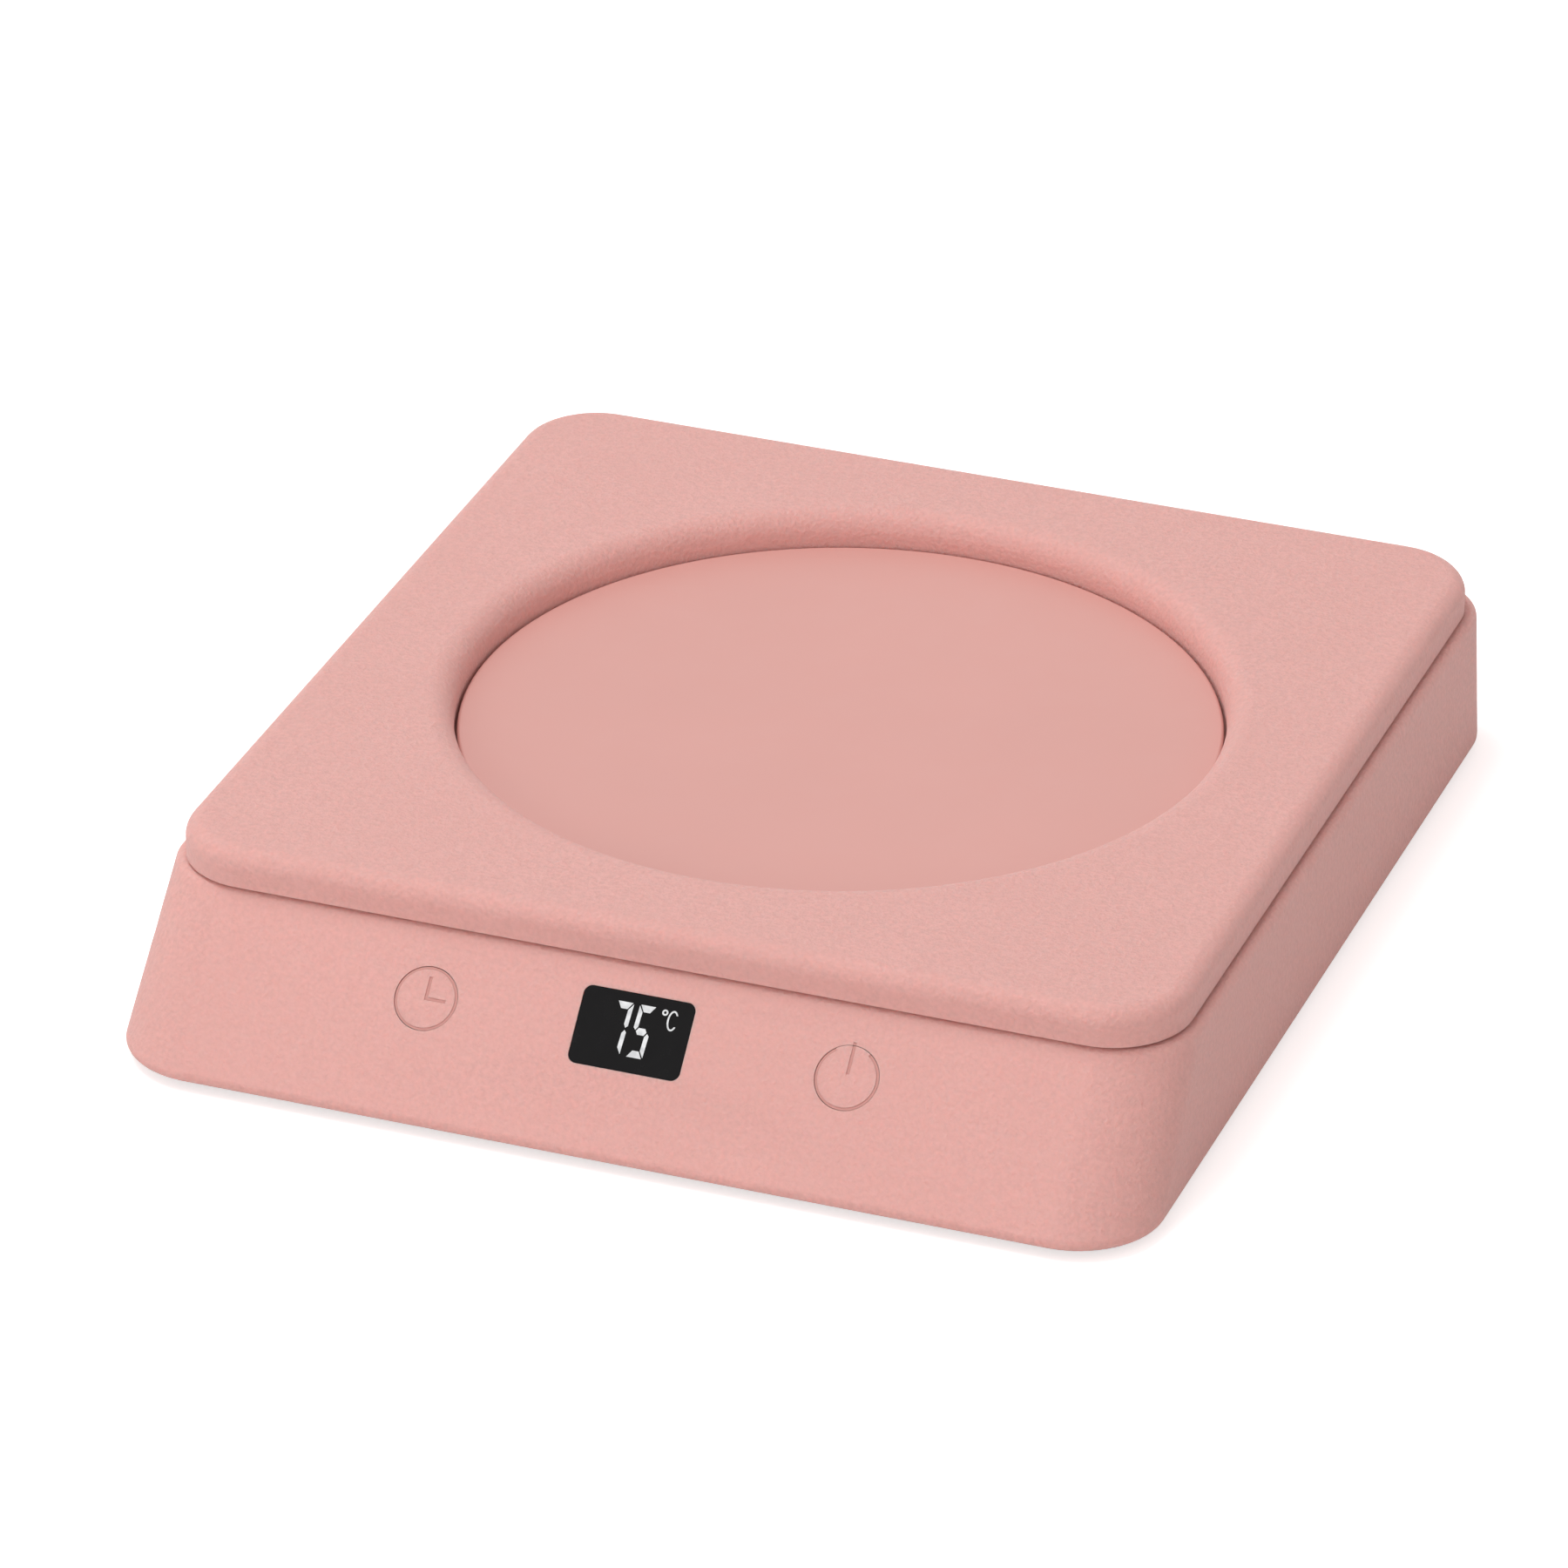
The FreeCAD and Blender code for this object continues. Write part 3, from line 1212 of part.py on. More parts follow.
def digit_solids():
    """The lit segments of both digits, the degree ring and the unit letter."""
    depth = value("segment_depth")
    lean = math.tan(math.radians(value("digit_lean")))
    centre_y = value("digit_y")
    solids = []
    for place_name, lit in SEGMENTS_ON.items():
        centre_x = value(place_name)
        for name in lit:
            outline = [(centre_x + x + y * lean, centre_y + y) for x, y in segment_outline(name)]
            solids.append(prism(outline, depth))
    stroke = value("degree_stroke")
    centre = Vector(value("degree_x"), value("degree_y"), -depth)
    radius = value("degree_radius")
    ring = Part.makeCylinder(radius, depth, centre).cut(Part.makeCylinder(radius - stroke, depth, centre))
    solids.append(ring)
    half_w, half_h = value("unit_width") / 2, value("unit_height") / 2
    middle = Vector(value("unit_x"), value("unit_y"), -depth)
    shells = []
    for shrink in (0, stroke):
        tall, wide = half_h - shrink, half_w - shrink
        oval = Part.Ellipse(middle + Vector(0, tall, 0), middle + Vector(wide, 0, 0), middle)
        shells.append(Part.Face(Part.Wire([oval.toShape()])).extrude(Vector(0, 0, depth)))
    opening = value("unit_opening")
    gap = Part.makeBox(half_w, opening, depth, middle + Vector(half_w * 0.3, -opening / 2, 0))
    solids.append(shells[0].cut(shells[1]).cut(gap))
    return [solid for item in solids for solid in item.Solids]


def make_display():
    shapes = doc.addObject("Part::Feature", "segment_shapes")
    shapes.Shape = Part.makeCompound(digit_solids())
    blank = new_body("window_blank")
    plan = new_sketch(blank, "window_outline", offset="-window_thickness")
    draw_rounded(plan, "-window_width / 2", "window_width / 2", "-window_height / 2", "window_height / 2",
                 "window_corner")
    pad(blank, "window", plan, "window_thickness")
    window = cut("display_window", blank, shapes)
    place(window, "display_x", "display_up", "0", on_panel=True)
    keep(window)
    segments = group("digit_segments", shapes)
    place(segments, "display_x", "display_up", "0", on_panel=True)
    keep(segments)
    module = block("module_block", ("-module_width / 2", "-module_height / 2", "-front_board_depth"),
                   ("module_width / 2", "module_height / 2", "-shell_wall"))
    module = group("digit_module", module)
    place(module, "display_x", "display_up", "0", on_panel=True)
    keep(module)


def make_front_board():
    body = new_body("front_board", on_panel=True)
    plan = new_sketch(body, "board_outline", offset="-(front_board_depth + front_board_thickness)")
    draw_box(plan, "-front_board_width / 2", "front_board_width / 2",
             "display_up - front_board_low", "display_up + front_board_high")
    for side in ("", "-"):
        draw_circle(plan, "small_screw_radius + screw_hole_clearance", f"{side}front_post_x", "display_up")
    pad(body, "board", plan, "front_board_thickness")
    keep(body)
    high = "-(front_board_depth + front_board_thickness)"
    half_x, half_y = "front_connector_width / 2", "front_connector_height / 2"
    socket = block("socket_block", (f"-{half_x}", f"-{half_y}", f"{high} - front_connector_depth"),
                   (half_x, half_y, high))
    connector = group("front_board_connector", socket)
    place(connector, "0", "display_up + front_connector_up", "0", on_panel=True)
    keep(connector)


def panel_point(up, depth):
    """A point of the panel's middle plane in the case frame."""
    slope = math.radians(value("front_slope"))
    height, reach = value(up), value(depth)
    y = value("foot_front") + height * math.sin(slope) + reach * math.cos(slope)
    z = value("shell_bottom") + height * math.cos(slope) - reach * math.sin(slope)
    return Vector(0, y, z)


def make_ribbon_cable():
    """A flat cable from the front board's connector to the control board's."""
    deep = "front_board_depth + front_board_thickness + front_connector_depth"
    up = "display_up + front_connector_up"
    start = panel_point(up, deep)
    out = panel_point(up, f"{deep} + ribbon_lead_out")
    low = value("floor_top + ribbon_height")
    entry = spot("0", "board_front + ribbon_connector_setback", "board_top + ribbon_connector_height / 2")
    bend = value("ribbon_bend")
    run = (out - start).normalize()
    fall = start + run * ((low - start.z) / run.z)
    climb = Vector(0, entry.y - 4 * bend, low)
    level = Vector(0, entry.y - 1.5 * bend, entry.z)
    route = rounded_route([start, fall, climb, level, entry], bend)
    half_w, half_t = value("ribbon_width") / 2, value("ribbon_thickness") / 2
    across, side = Vector(half_w, 0, 0), run.cross(Vector(1, 0, 0)).normalize() * half_t
    corners = [start - across - side, start + across - side, start + across + side, start - across + side]
    profile = Part.makePolygon(corners + corners[:1])
    item = doc.addObject("Part::Feature", "ribbon_cable")
    item.Shape = route.makePipeShell([profile], True, False)
    return keep(item)


# Keys: a cap that slides square to the front wall on a switch's plunger

def key_cap(label, key_x, engraving):
    """A round cap with a retaining flange and a stem, cut with its sign."""
    flange_low = "key_flange_top + key_flange_thickness"
    barrel = rod(f"{label}_barrel", "key_radius", f"-({flange_low})", "0")
    flange = rod(f"{label}_flange", "key_radius + key_flange_width", f"-({flange_low})", "-key_flange_top")
    stem = rod(f"{label}_stem", "key_stem_radius", "-plunger_tip", f"-({flange_low})")
    cap = cut(label, fuse(f"{label}_blank", barrel, flange, stem), *engraving)
    place(cap, key_x, "key_up", "0", on_panel=True)
    return keep(cap)


def ring_relief(label, opening):
    """The step round the cap's rim that shows as a ring, left out over an opening at the top."""
    outer = rod(f"{label}_ring_outer", "key_radius + key_clearance", "-sign_depth", "0")
    outer.setExpression("Angle", expand(f"360 - ({opening})"))
    outer.Placement = Placement(Vector(), Rotation(Vector(0, 0, 1), 90))
    outer.setExpression("Placement.Rotation.Angle", expand(f"90 + ({opening}) / 2"))
    inner = rod(f"{label}_ring_inner", "key_radius + key_clearance - sign_stroke", "-2 * sign_depth",
                "sign_depth")
    return cut(f"{label}_ring", outer, inner)


def groove(name, left, right, low, high):
    return block(name, (left, low, "-sign_depth"), (right, high, "0"))


def make_keys():
    half = "sign_stroke / 2"
    hands = (groove("clock_hand_up", f"-{half}", half, f"-{half}", "hand_up"),
             groove("clock_hand_side", f"-{half}", "hand_side", f"-{half}", half))
    key_cap("timer_key", "timer_key_x", (ring_relief("timer", "0"),) + hands)
    bar = groove("power_key_bar", f"-{half}", half, "bar_low", "key_radius + key_clearance")
    key_cap("power_key", "power_key_x", (ring_relief("power", "ring_opening"), bar))


def make_switches():
    half = "switch_side / 2"
    depth = "plunger_bury + key_travel + plunger_clearance"
    for label, key_x in (("timer_switch", "timer_key_x"), ("power_switch", "power_key_x")):
        case = block(f"{label}_case", (f"-{half}", f"-{half}", "-front_board_depth"),
                     (half, half, "-switch_face"))
        bore = rod(f"{label}_bore", "plunger_radius + plunger_clearance", f"-switch_face - ({depth})",
                   "-switch_face")
        housing = cut(label, case, bore)
        place(housing, key_x, "key_up", "0", on_panel=True)
        keep(housing)
        stick = rod(f"{label}_stick", "plunger_radius", "-switch_face - plunger_bury", "-plunger_tip")
        plunger = group(f"{label}_plunger", stick)
        place(plunger, key_x, "key_up", "0", on_panel=True)
        keep(plunger)


make_base_shell()
make_top_cover()
make_bottom_cover()
make_feet()
make_case_screws()
make_heating_plate()
make_plate_seal()
make_heater_film()
make_insulation_pad()
make_heater_tray()
make_tray_screws()
make_thermistor()
make_thermistor_grommet()
make_sensor_leads()
make_thermal_fuse()
make_fuse_clip()
make_clip_rivets()
make_heater_leads()
make_control_board()
make_board_screws()
make_board_parts()
make_connectors()
make_usb_socket()
make_display()
make_front_board()
make_front_board_screws()
make_ribbon_cable()
make_keys()
make_switches()
doc.recompute()

# Checks before anything is written
for item in doc.Objects:
    if "Invalid" in item.State or "Error" in item.State:
        raise RuntimeError(f"{item.Label} failed: {item.State}")
for node in nodes:
    if node.Shape.isNull() or not node.Shape.isValid() or not node.Shape.Solids:
        raise RuntimeError(f"{node.Label} has no sound solid")

for node in nodes:
    node.Shape.exportStep(f"parts/{node.Label}.step")
    print(f"{node.Label}: {len(node.Shape.Solids)} solids, {node.Shape.Volume:.2f} mm3")
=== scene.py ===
# Dressed scene of the electric mug warmer: materials, small surface details, floor, light and camera.
# Everything is in metres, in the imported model's frame: +X right, +Y back, +Z up, feet on z = 0.
import bmesh
import bpy
import math
from mathutils import Matrix, Vector


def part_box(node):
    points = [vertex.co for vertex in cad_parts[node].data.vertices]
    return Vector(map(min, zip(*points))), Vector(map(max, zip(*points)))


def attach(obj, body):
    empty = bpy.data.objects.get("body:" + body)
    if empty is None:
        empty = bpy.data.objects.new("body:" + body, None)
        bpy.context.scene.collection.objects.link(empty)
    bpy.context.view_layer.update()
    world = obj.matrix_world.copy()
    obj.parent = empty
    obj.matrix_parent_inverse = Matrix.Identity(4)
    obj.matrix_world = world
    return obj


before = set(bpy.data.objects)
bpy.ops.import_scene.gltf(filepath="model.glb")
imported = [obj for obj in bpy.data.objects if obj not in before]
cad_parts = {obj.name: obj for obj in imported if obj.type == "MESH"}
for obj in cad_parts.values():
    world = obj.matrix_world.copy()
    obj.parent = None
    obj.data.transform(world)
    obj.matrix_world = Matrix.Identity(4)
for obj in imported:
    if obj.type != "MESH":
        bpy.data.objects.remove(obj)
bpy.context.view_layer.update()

MM = 0.001

# Camera, matched to the photograph's perspective
CAMERA_PLACE = Vector((0.33602, -0.90739, 0.54433))
CAMERA_AZIMUTH = 0.359
CAMERA_ELEVATION = 0.501
CAMERA_ROLL = -0.001
CAMERA_LENS_MM = 218.16
CAMERA_SENSOR_MM = 36.0

# Colours, linear
CASE_PINK = (0.745, 0.422, 0.388)
PLATE_PINK = (0.700, 0.372, 0.334)
RUBBER_GREY = (0.055, 0.052, 0.050)
SILICONE_ROSE = (0.66, 0.27, 0.23)
STEEL = (0.58, 0.58, 0.59)
ALUMINIUM = (0.70, 0.70, 0.72)
NICKEL = (0.66, 0.64, 0.60)
POLYIMIDE = (0.42, 0.13, 0.018)
GLASS_FIBRE = (0.68, 0.64, 0.54)
MOULDED_BLACK = (0.014, 0.014, 0.016)
SLEEVE_WHITE = (0.72, 0.70, 0.64)
NYLON = (0.74, 0.70, 0.60)
SOLDER_RESIST = (0.012, 0.085, 0.030)
WINDOW_BLACK = (0.0085, 0.0085, 0.0090)
RIBBON_GREY = (0.30, 0.31, 0.33)
GOLD = (0.83, 0.60, 0.24)
# Darker rose of the strips of painted shade in the keys' pressed signs
SIGN_SHADE_ROSE = (0.490, 0.245, 0.218)


# Material building blocks

class Shader:
    """A node material with one Principled shader and helpers for procedural detail."""

    def __init__(self, name):
        self.material = bpy.data.materials.new(name)
        self.material.use_nodes = True
        self.nodes = self.material.node_tree.nodes
        self.links = self.material.node_tree.links
        self.surface = self.nodes["Principled BSDF"]
        self.place = self.nodes.new("ShaderNodeTexCoord").outputs["Object"]

    def node(self, kind, **inputs):
        """Add a node; each input is named with underscores for spaces."""
        node = self.nodes.new(kind)
        for name, content in inputs.items():
            self.feed(node.inputs[name.replace("_", " ")], content)
        return node

    def feed(self, socket, content):
        """Link a socket to another, or set its value."""
        if isinstance(content, bpy.types.NodeSocket):
            self.links.new(content, socket)
        else:
            socket.default_value = content

    def noise(self, size, detail, stretch=None):
        """Noise whose main feature size is given in metres."""
        place = self.place
        if stretch:
            mapping = self.node("ShaderNodeMapping", Vector=place, Scale=stretch)
            place = mapping.outputs["Vector"]
        texture = self.node("ShaderNodeTexNoise", Vector=place, Scale=1.0 / size, Detail=detail)
        return texture.outputs["Fac"]

    def cells(self, size):
        """Distance to the nearest of scattered points, with the cell size in metres."""
        texture = self.node("ShaderNodeTexVoronoi", Vector=self.place, Scale=1.0 / size)
        return texture.outputs["Distance"]

    def ramp(self, value, low, high, start=0.0, end=1.0):
        """Map a range of a value to another range, clamped."""
        node = self.node("ShaderNodeMapRange", Value=value)
        for name, number in (("From Min", low), ("From Max", high), ("To Min", start), ("To Max", end)):
            node.inputs[name].default_value = number
        return node.outputs["Result"]

    def blend(self, amount, first, second):
        """Mix two colours by an amount."""
        node = self.nodes.new("ShaderNodeMix")
        node.data_type = "RGBA"
        self.feed(node.inputs["Factor"], amount)
        for index, colour in ((6, first), (7, second)):
            if not isinstance(colour, bpy.types.NodeSocket):
                colour = (*colour, 1.0)
            self.feed(node.inputs[index], colour)
        return node.outputs[2]

    def edges(self, width):
        """How convex the surface is: 0 on flats, towards 1 on sharp outer edges."""
        geometry = self.nodes.new("ShaderNodeNewGeometry")
        return self.ramp(geometry.outputs["Pointiness"], 0.5, 0.5 + width)

    def bump(self, height, depth, before=None):
        """Relief whose depth is given in metres."""
        node = self.node("ShaderNodeBump", Height=height, Distance=depth)
        if before:
            self.links.new(before, node.inputs["Normal"])
        return node.outputs["Normal"]

    def finish(self, colour, roughness, normal=None, **extra):
        """Feed the Principled shader and return the material."""
        self.feed(self.surface.inputs["Base Color"], colour)
        self.feed(self.surface.inputs["Roughness"], roughness)
        if normal:
            self.feed(self.surface.inputs["Normal"], normal)
        for name, content in extra.items():
            self.feed(self.surface.inputs[name.replace("_", " ")], content)
        return self.material


def shade(colour, factor):
    """A colour made lighter or darker by a factor."""
    return tuple(channel * factor for channel in colour)


# Materials

def soft_touch(name, colour):
    """Soft-touch moulded plastic: fine sandy grain, faint mottling, outer edges painted lighter as a
    highlight.
    """
    m = Shader(name)
    grain = m.noise(0.52 * MM, detail=3.0)
    fine = m.noise(0.22 * MM, detail=2.0)
    cloud = m.noise(22 * MM, detail=2.0)
    speckle = m.blend(m.ramp(grain, 0.30, 0.70), shade(colour, 0.93), shade(colour, 1.07))
    mottled = m.blend(m.ramp(cloud, 0.35, 0.65, 0.0, 0.35), speckle, shade(colour, 0.965))
    # Painted highlight: convex outer edges are made lighter.
    edge_highlighted = m.blend(m.ramp(m.edges(0.06), 0.2, 1.0, 0.0, 0.3), mottled, shade(colour, 1.07))
    relief = m.bump(grain, 0.16 * MM)
    relief = m.bump(fine, 0.025 * MM, before=relief)
    roughness = m.ramp(cloud, 0.3, 0.7, 0.56, 0.64)
    return m.finish(edge_highlighted, roughness, relief, Specular_IOR_Level=0.5, Sheen_Weight=0.06,
                    Sheen_Roughness=0.5, Subsurface_Weight=0.6, Subsurface_Radius=(1.0, 0.40, 0.32),
                    Subsurface_Scale=0.9 * MM)


def coated_plate(name, colour):
    """Satin coat on the heating plate: smooth, with faint patches worn by mugs."""
    m = Shader(name)
    cloud = m.noise(30 * MM, detail=2.0)
    fine = m.noise(0.12 * MM, detail=2.0)
    rubbing = m.noise(4 * MM, detail=6.0)
    tone = m.blend(m.ramp(cloud, 0.3, 0.7), shade(colour, 0.985), shade(colour, 1.015))
    tone = m.blend(m.ramp(rubbing, 0.55, 0.75, 0.0, 0.15), tone, shade(colour, 1.03))
    roughness = m.ramp(rubbing, 0.3, 0.7, 0.36, 0.44)
    relief = m.bump(fine, 0.003 * MM)
    return m.finish(tone, roughness, relief, Specular_IOR_Level=0.5)


def rubber(name, colour):
    """Matt rubber or silicone with a little dust."""
    m = Shader(name)
    grain = m.noise(0.35 * MM, detail=4.0)
    dust = m.noise(5 * MM, detail=5.0)
    tone = m.blend(m.ramp(dust, 0.45, 0.75, 0.0, 0.35), colour, shade(colour, 1.6))
    return m.finish(tone, m.ramp(dust, 0.3, 0.7, 0.72, 0.85), m.bump(grain, 0.03 * MM))


def metal(name, colour, rough, stretch=(1.0, 1.0, 1.0)):
    """Plated or drawn metal with fine lines, and outer edges painted lighter as a highlight."""
    m = Shader(name)
    lines = m.noise(0.25 * MM, detail=5.0, stretch=stretch)
    stain = m.noise(6 * MM, detail=4.0)
    tone = m.blend(m.ramp(stain, 0.4, 0.75, 0.0, 0.5), colour, shade(colour, 0.82))
    # Painted highlight: convex edges are made lighter.
    tone = m.blend(m.edges(0.05), tone, shade(colour, 1.12))
    roughness = m.ramp(lines, 0.3, 0.7, rough - 0.05, rough + 0.08)
    return m.finish(tone, roughness, m.bump(lines, 0.004 * MM), Metallic=1.0)


def moulded(name, colour, rough=0.45):
    """Plain moulded plastic with a fine spark-eroded grain, and outer edges painted lighter as a
    highlight.
    """
    m = Shader(name)
    grain = m.noise(0.2 * MM, detail=3.0)
    cloud = m.noise(8 * MM, detail=2.0)
    tone = m.blend(m.ramp(cloud, 0.3, 0.7), shade(colour, 0.92), shade(colour, 1.08))
    # Painted highlight: convex edges are made lighter.
    tone = m.blend(m.edges(0.06), tone, shade(colour, 1.25))
    return m.finish(tone, m.ramp(cloud, 0.3, 0.7, rough - 0.04, rough + 0.05), m.bump(grain, 0.012 * MM))


def window_plastic(name):
    """Dark tinted window: polished, with a faint haze of wiped dust."""
    m = Shader(name)
    haze = m.noise(3 * MM, detail=5.0)
    peel = m.noise(1.6 * MM, detail=1.0)
    tone = m.blend(m.ramp(haze, 0.45, 0.75, 0.0, 0.25), WINDOW_BLACK, shade(WINDOW_BLACK, 1.35))
    roughness = m.ramp(haze, 0.35, 0.7, 0.20, 0.30)
    return m.finish(tone, roughness, m.bump(peel, 0.002 * MM), Specular_IOR_Level=0.10)


def lit_digit(name):
    """A lit light guide: white, with slightly uneven brightness."""
    m = Shader(name)
    glow = m.noise(0.7 * MM, detail=1.0)
    tone = m.blend(m.ramp(glow, 0.3, 0.7), (0.86, 0.88, 0.90), (0.98, 0.99, 1.0))
    m.feed(m.surface.inputs["Emission Color"], tone)
    strength = m.ramp(glow, 0.3, 0.7, 0.62, 0.74)
    return m.finish((0.10, 0.10, 0.10, 1.0), 0.5, m.bump(glow, 0.002 * MM), Emission_Strength=strength)


def circuit_board(name):
    """Solder resist over copper: lighter tracks that run square on a darker ground."""
    m = Shader(name)
    brick = m.node("ShaderNodeTexBrick", Vector=m.place, Scale=160.0)
    brick.offset = 0.37
    brick.inputs["Mortar Size"].default_value = 0.035
    brick.inputs["Brick Width"].default_value = 1.7
    brick.inputs["Row Height"].default_value = 0.55
    tracks = brick.outputs["Fac"]
    weave = m.noise(0.3 * MM, detail=2.0)
    tone = m.blend(tracks, SOLDER_RESIST, shade(SOLDER_RESIST, 2.1))
    tone = m.blend(m.ramp(weave, 0.3, 0.7, 0.0, 0.3), tone, shade(SOLDER_RESIST, 0.7))
    relief = m.bump(tracks, 0.03 * MM)
    return m.finish(tone, m.ramp(weave, 0.3, 0.7, 0.26, 0.36), m.bump(weave, 0.004 * MM, before=relief))


def film_laminate(name):
    """Amber heater film with ring-shaped etched tracks under it."""
    m = Shader(name)
    wave = m.node("ShaderNodeTexWave", Vector=m.place, Scale=70.0, Distortion=1.2)
    wave.wave_type = "RINGS"
    wave.rings_direction = "Z"
    track = m.ramp(wave.outputs["Fac"], 0.45, 0.55)
    tone = m.blend(track, POLYIMIDE, (0.16, 0.10, 0.06))
    wrinkle = m.noise(6 * MM, detail=3.0)
    return m.finish(tone, m.ramp(wrinkle, 0.3, 0.7, 0.18, 0.30), m.bump(track, 0.02 * MM))


def pressed_fibre(name):
    """Pressed insulation fibre: matted cells and fine strands."""
    m = Shader(name)
    fibre = m.noise(0.5 * MM, detail=8.0, stretch=(1.0, 3.0, 1.0))
    matting = m.cells(1.6 * MM)
    tone = m.blend(m.ramp(fibre, 0.3, 0.7), shade(GLASS_FIBRE, 0.86), GLASS_FIBRE)
    relief = m.bump(matting, 0.08 * MM)
    return m.finish(tone, 0.95, m.bump(fibre, 0.05 * MM, before=relief), Sheen_Weight=0.3)


def ribbon(name):
    """Flat cable: side by side wires seen as fine ribs, with painted shade in the grooves between them.
    """
    m = Shader(name)
    wave = m.node("ShaderNodeTexWave", Vector=m.place, Scale=490.0)
    wave.bands_direction = "X"
    ribs = wave.outputs["Fac"]
    dust = m.noise(3 * MM, detail=4.0)
    # Painted shade: the grooves between the wires are darker.
    tone = m.blend(m.ramp(ribs, 0.0, 0.5), shade(RIBBON_GREY, 0.6), RIBBON_GREY)
    tone = m.blend(m.ramp(dust, 0.5, 0.8, 0.0, 0.3), tone, shade(RIBBON_GREY, 1.2))
    return m.finish(tone, 0.5, m.bump(ribs, 0.12 * MM))


def dress_nodes():
    """Give every node of the model its material."""
    brushed_x = (0.15, 6.0, 6.0)
    looks = {
        soft_touch("case_plastic", CASE_PINK): ["base_shell", "top_cover", "bottom_cover", "timer_key",
                                                "power_key"],
        coated_plate("plate_coating", PLATE_PINK): ["heating_plate"],
        rubber("foot_rubber", RUBBER_GREY): ["rubber_foot_front_left", "rubber_foot_front_right",
                                             "rubber_foot_back_left", "rubber_foot_back_right"],
        rubber("silicone", SILICONE_ROSE): ["plate_seal", "thermistor_grommet"],
        metal("screw_steel", STEEL, rough=0.30): ["case_screws", "tray_screws", "board_screws",
                                                  "front_board_screws"],
        metal("tray_steel", STEEL, stretch=brushed_x, rough=0.34): ["heater_tray", "fuse_clip"],
        metal("rivet_aluminium", ALUMINIUM, rough=0.36): ["clip_rivets", "thermal_fuse", "capacitors"],
        metal("socket_nickel", NICKEL, stretch=brushed_x, rough=0.22): ["usb_socket"],
        film_laminate("heater_film_laminate"): ["heater_film"],
        pressed_fibre("pad_fibre"): ["insulation_pad"],
        moulded("bead_epoxy", MOULDED_BLACK, rough=0.25): ["thermistor"],
        rubber("lead_sleeve", SLEEVE_WHITE): ["heater_leads", "sensor_leads"],
        circuit_board("board_laminate"): ["control_board", "front_board"],
        moulded("component_black", MOULDED_BLACK): ["controller_chip", "heater_transistor", "inductor",
                                                    "buzzer", "timer_switch", "power_switch",
                                                    "timer_switch_plunger", "power_switch_plunger"],
        moulded("connector_nylon", NYLON, rough=0.4): ["heater_connector", "sensor_connector",
                                                       "ribbon_connector", "front_board_connector",
                                                       "digit_module"],
        ribbon("ribbon_grey"): ["ribbon_cable"],
        window_plastic("window_black"): ["display_window"],
        lit_digit("digit_light"): ["digit_segments"],
    }
    for material, names in looks.items():
        for name in names:
            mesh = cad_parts[name].data
            mesh.materials.clear()
            mesh.materials.append(material)


# Small surface pieces that the solids leave out

# Front wall's lean, and the signs' lines on the keys, laid as strips of painted shade: places in
# millimetres from a key's centre
PANEL_TILT = math.radians(43.0)
RING_INNER = 3.42
RING_OUTER = 3.66
RING_OPENING = 68.0
RING_STEPS = 96
SIGN_WIDTH = 0.26
CLOCK_HAND_UP = 2.5
CLOCK_HAND_SIDE = 2.3
POWER_BAR_LOW = 0.45
POWER_TIP_LOW = 3.80
POWER_TIP_HIGH = 4.07
GROOVE_DEPTH = 0.12
SHADE_STRIP_THICKNESS = 0.03

# Contacts on the inlet's tongue, in millimetres
CONTACTS_PER_FACE = 12
CONTACT_PITCH = 0.5
CONTACT_WIDTH = 0.28
CONTACT_LENGTH = 3.4
CONTACT_THICKNESS = 0.06
CONTACT_BEVEL = 0.02
TONGUE_HALF = 0.35
TONGUE_SETBACK = 2.5


def mesh_piece(name, bm, material, body):
    """Finish a bmesh as a piece that rides on a body."""
    mesh = bpy.data.meshes.new(name)
    bm.to_mesh(mesh)
    bm.free()
    mesh.materials.append(material)
    piece = bpy.data.objects.new(name, mesh)
    bpy.context.scene.collection.objects.link(piece)
    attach(piece, body)


def rounded_bar(bm, centre, size, bevel):
    """Add a bevelled block to a bmesh."""
    made = bmesh.ops.create_cube(bm, size=1.0)
    corners = made["verts"]
    bmesh.ops.scale(bm, vec=Vector(size), verts=corners)
    bmesh.ops.translate(bm, vec=Vector(centre), verts=corners)
    edges = {edge for corner in corners for edge in corner.link_edges}
    bmesh.ops.bevel(bm, geom=list(edges), offset=bevel, segments=2, affect="EDGES", profile=0.5)


def socket_contacts():
    """Twelve gold contacts on each face of the inlet's tongue."""
    low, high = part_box("usb_socket")
    size = [side * MM for side in (CONTACT_WIDTH, CONTACT_LENGTH, CONTACT_THICKNESS)]
    lift = TONGUE_HALF * MM + size[2] * 0.4
    y = high[1] - TONGUE_SETBACK * MM - size[1] / 2
    bm = bmesh.new()
    for face in (1, -1):
        for i in range(CONTACTS_PER_FACE):
            x = (i - (CONTACTS_PER_FACE - 1) / 2) * CONTACT_PITCH * MM
            z = (low[2] + high[2]) / 2 + face * lift
            rounded_bar(bm, (x, y, z), size, CONTACT_BEVEL * MM)
    mesh_piece("socket_contacts", bm, metal("contact_gold", GOLD, rough=0.18), "housing")


def strip_solid(bm, left, right, depth, closed=False):
    """Add a thin solid strip between two edges, each a list of points, and down by a depth vector."""
    rows = []
    for one, other in zip(left, right):
        rows.append([bm.verts.new(point) for point in (one, other, other - depth, one - depth)])
    steps = list(zip(rows, rows[1:] + rows[:1])) if closed else list(zip(rows, rows[1:]))
    for first, second in steps:
        for i in range(4):
            j = (i + 1) % 4
            bm.faces.new((first[i], first[j], second[j], second[i]))
    if not closed:
        bm.faces.new(rows[0][::-1])
        bm.faces.new(rows[-1])
    bmesh.ops.recalc_face_normals(bm, faces=bm.faces[:])


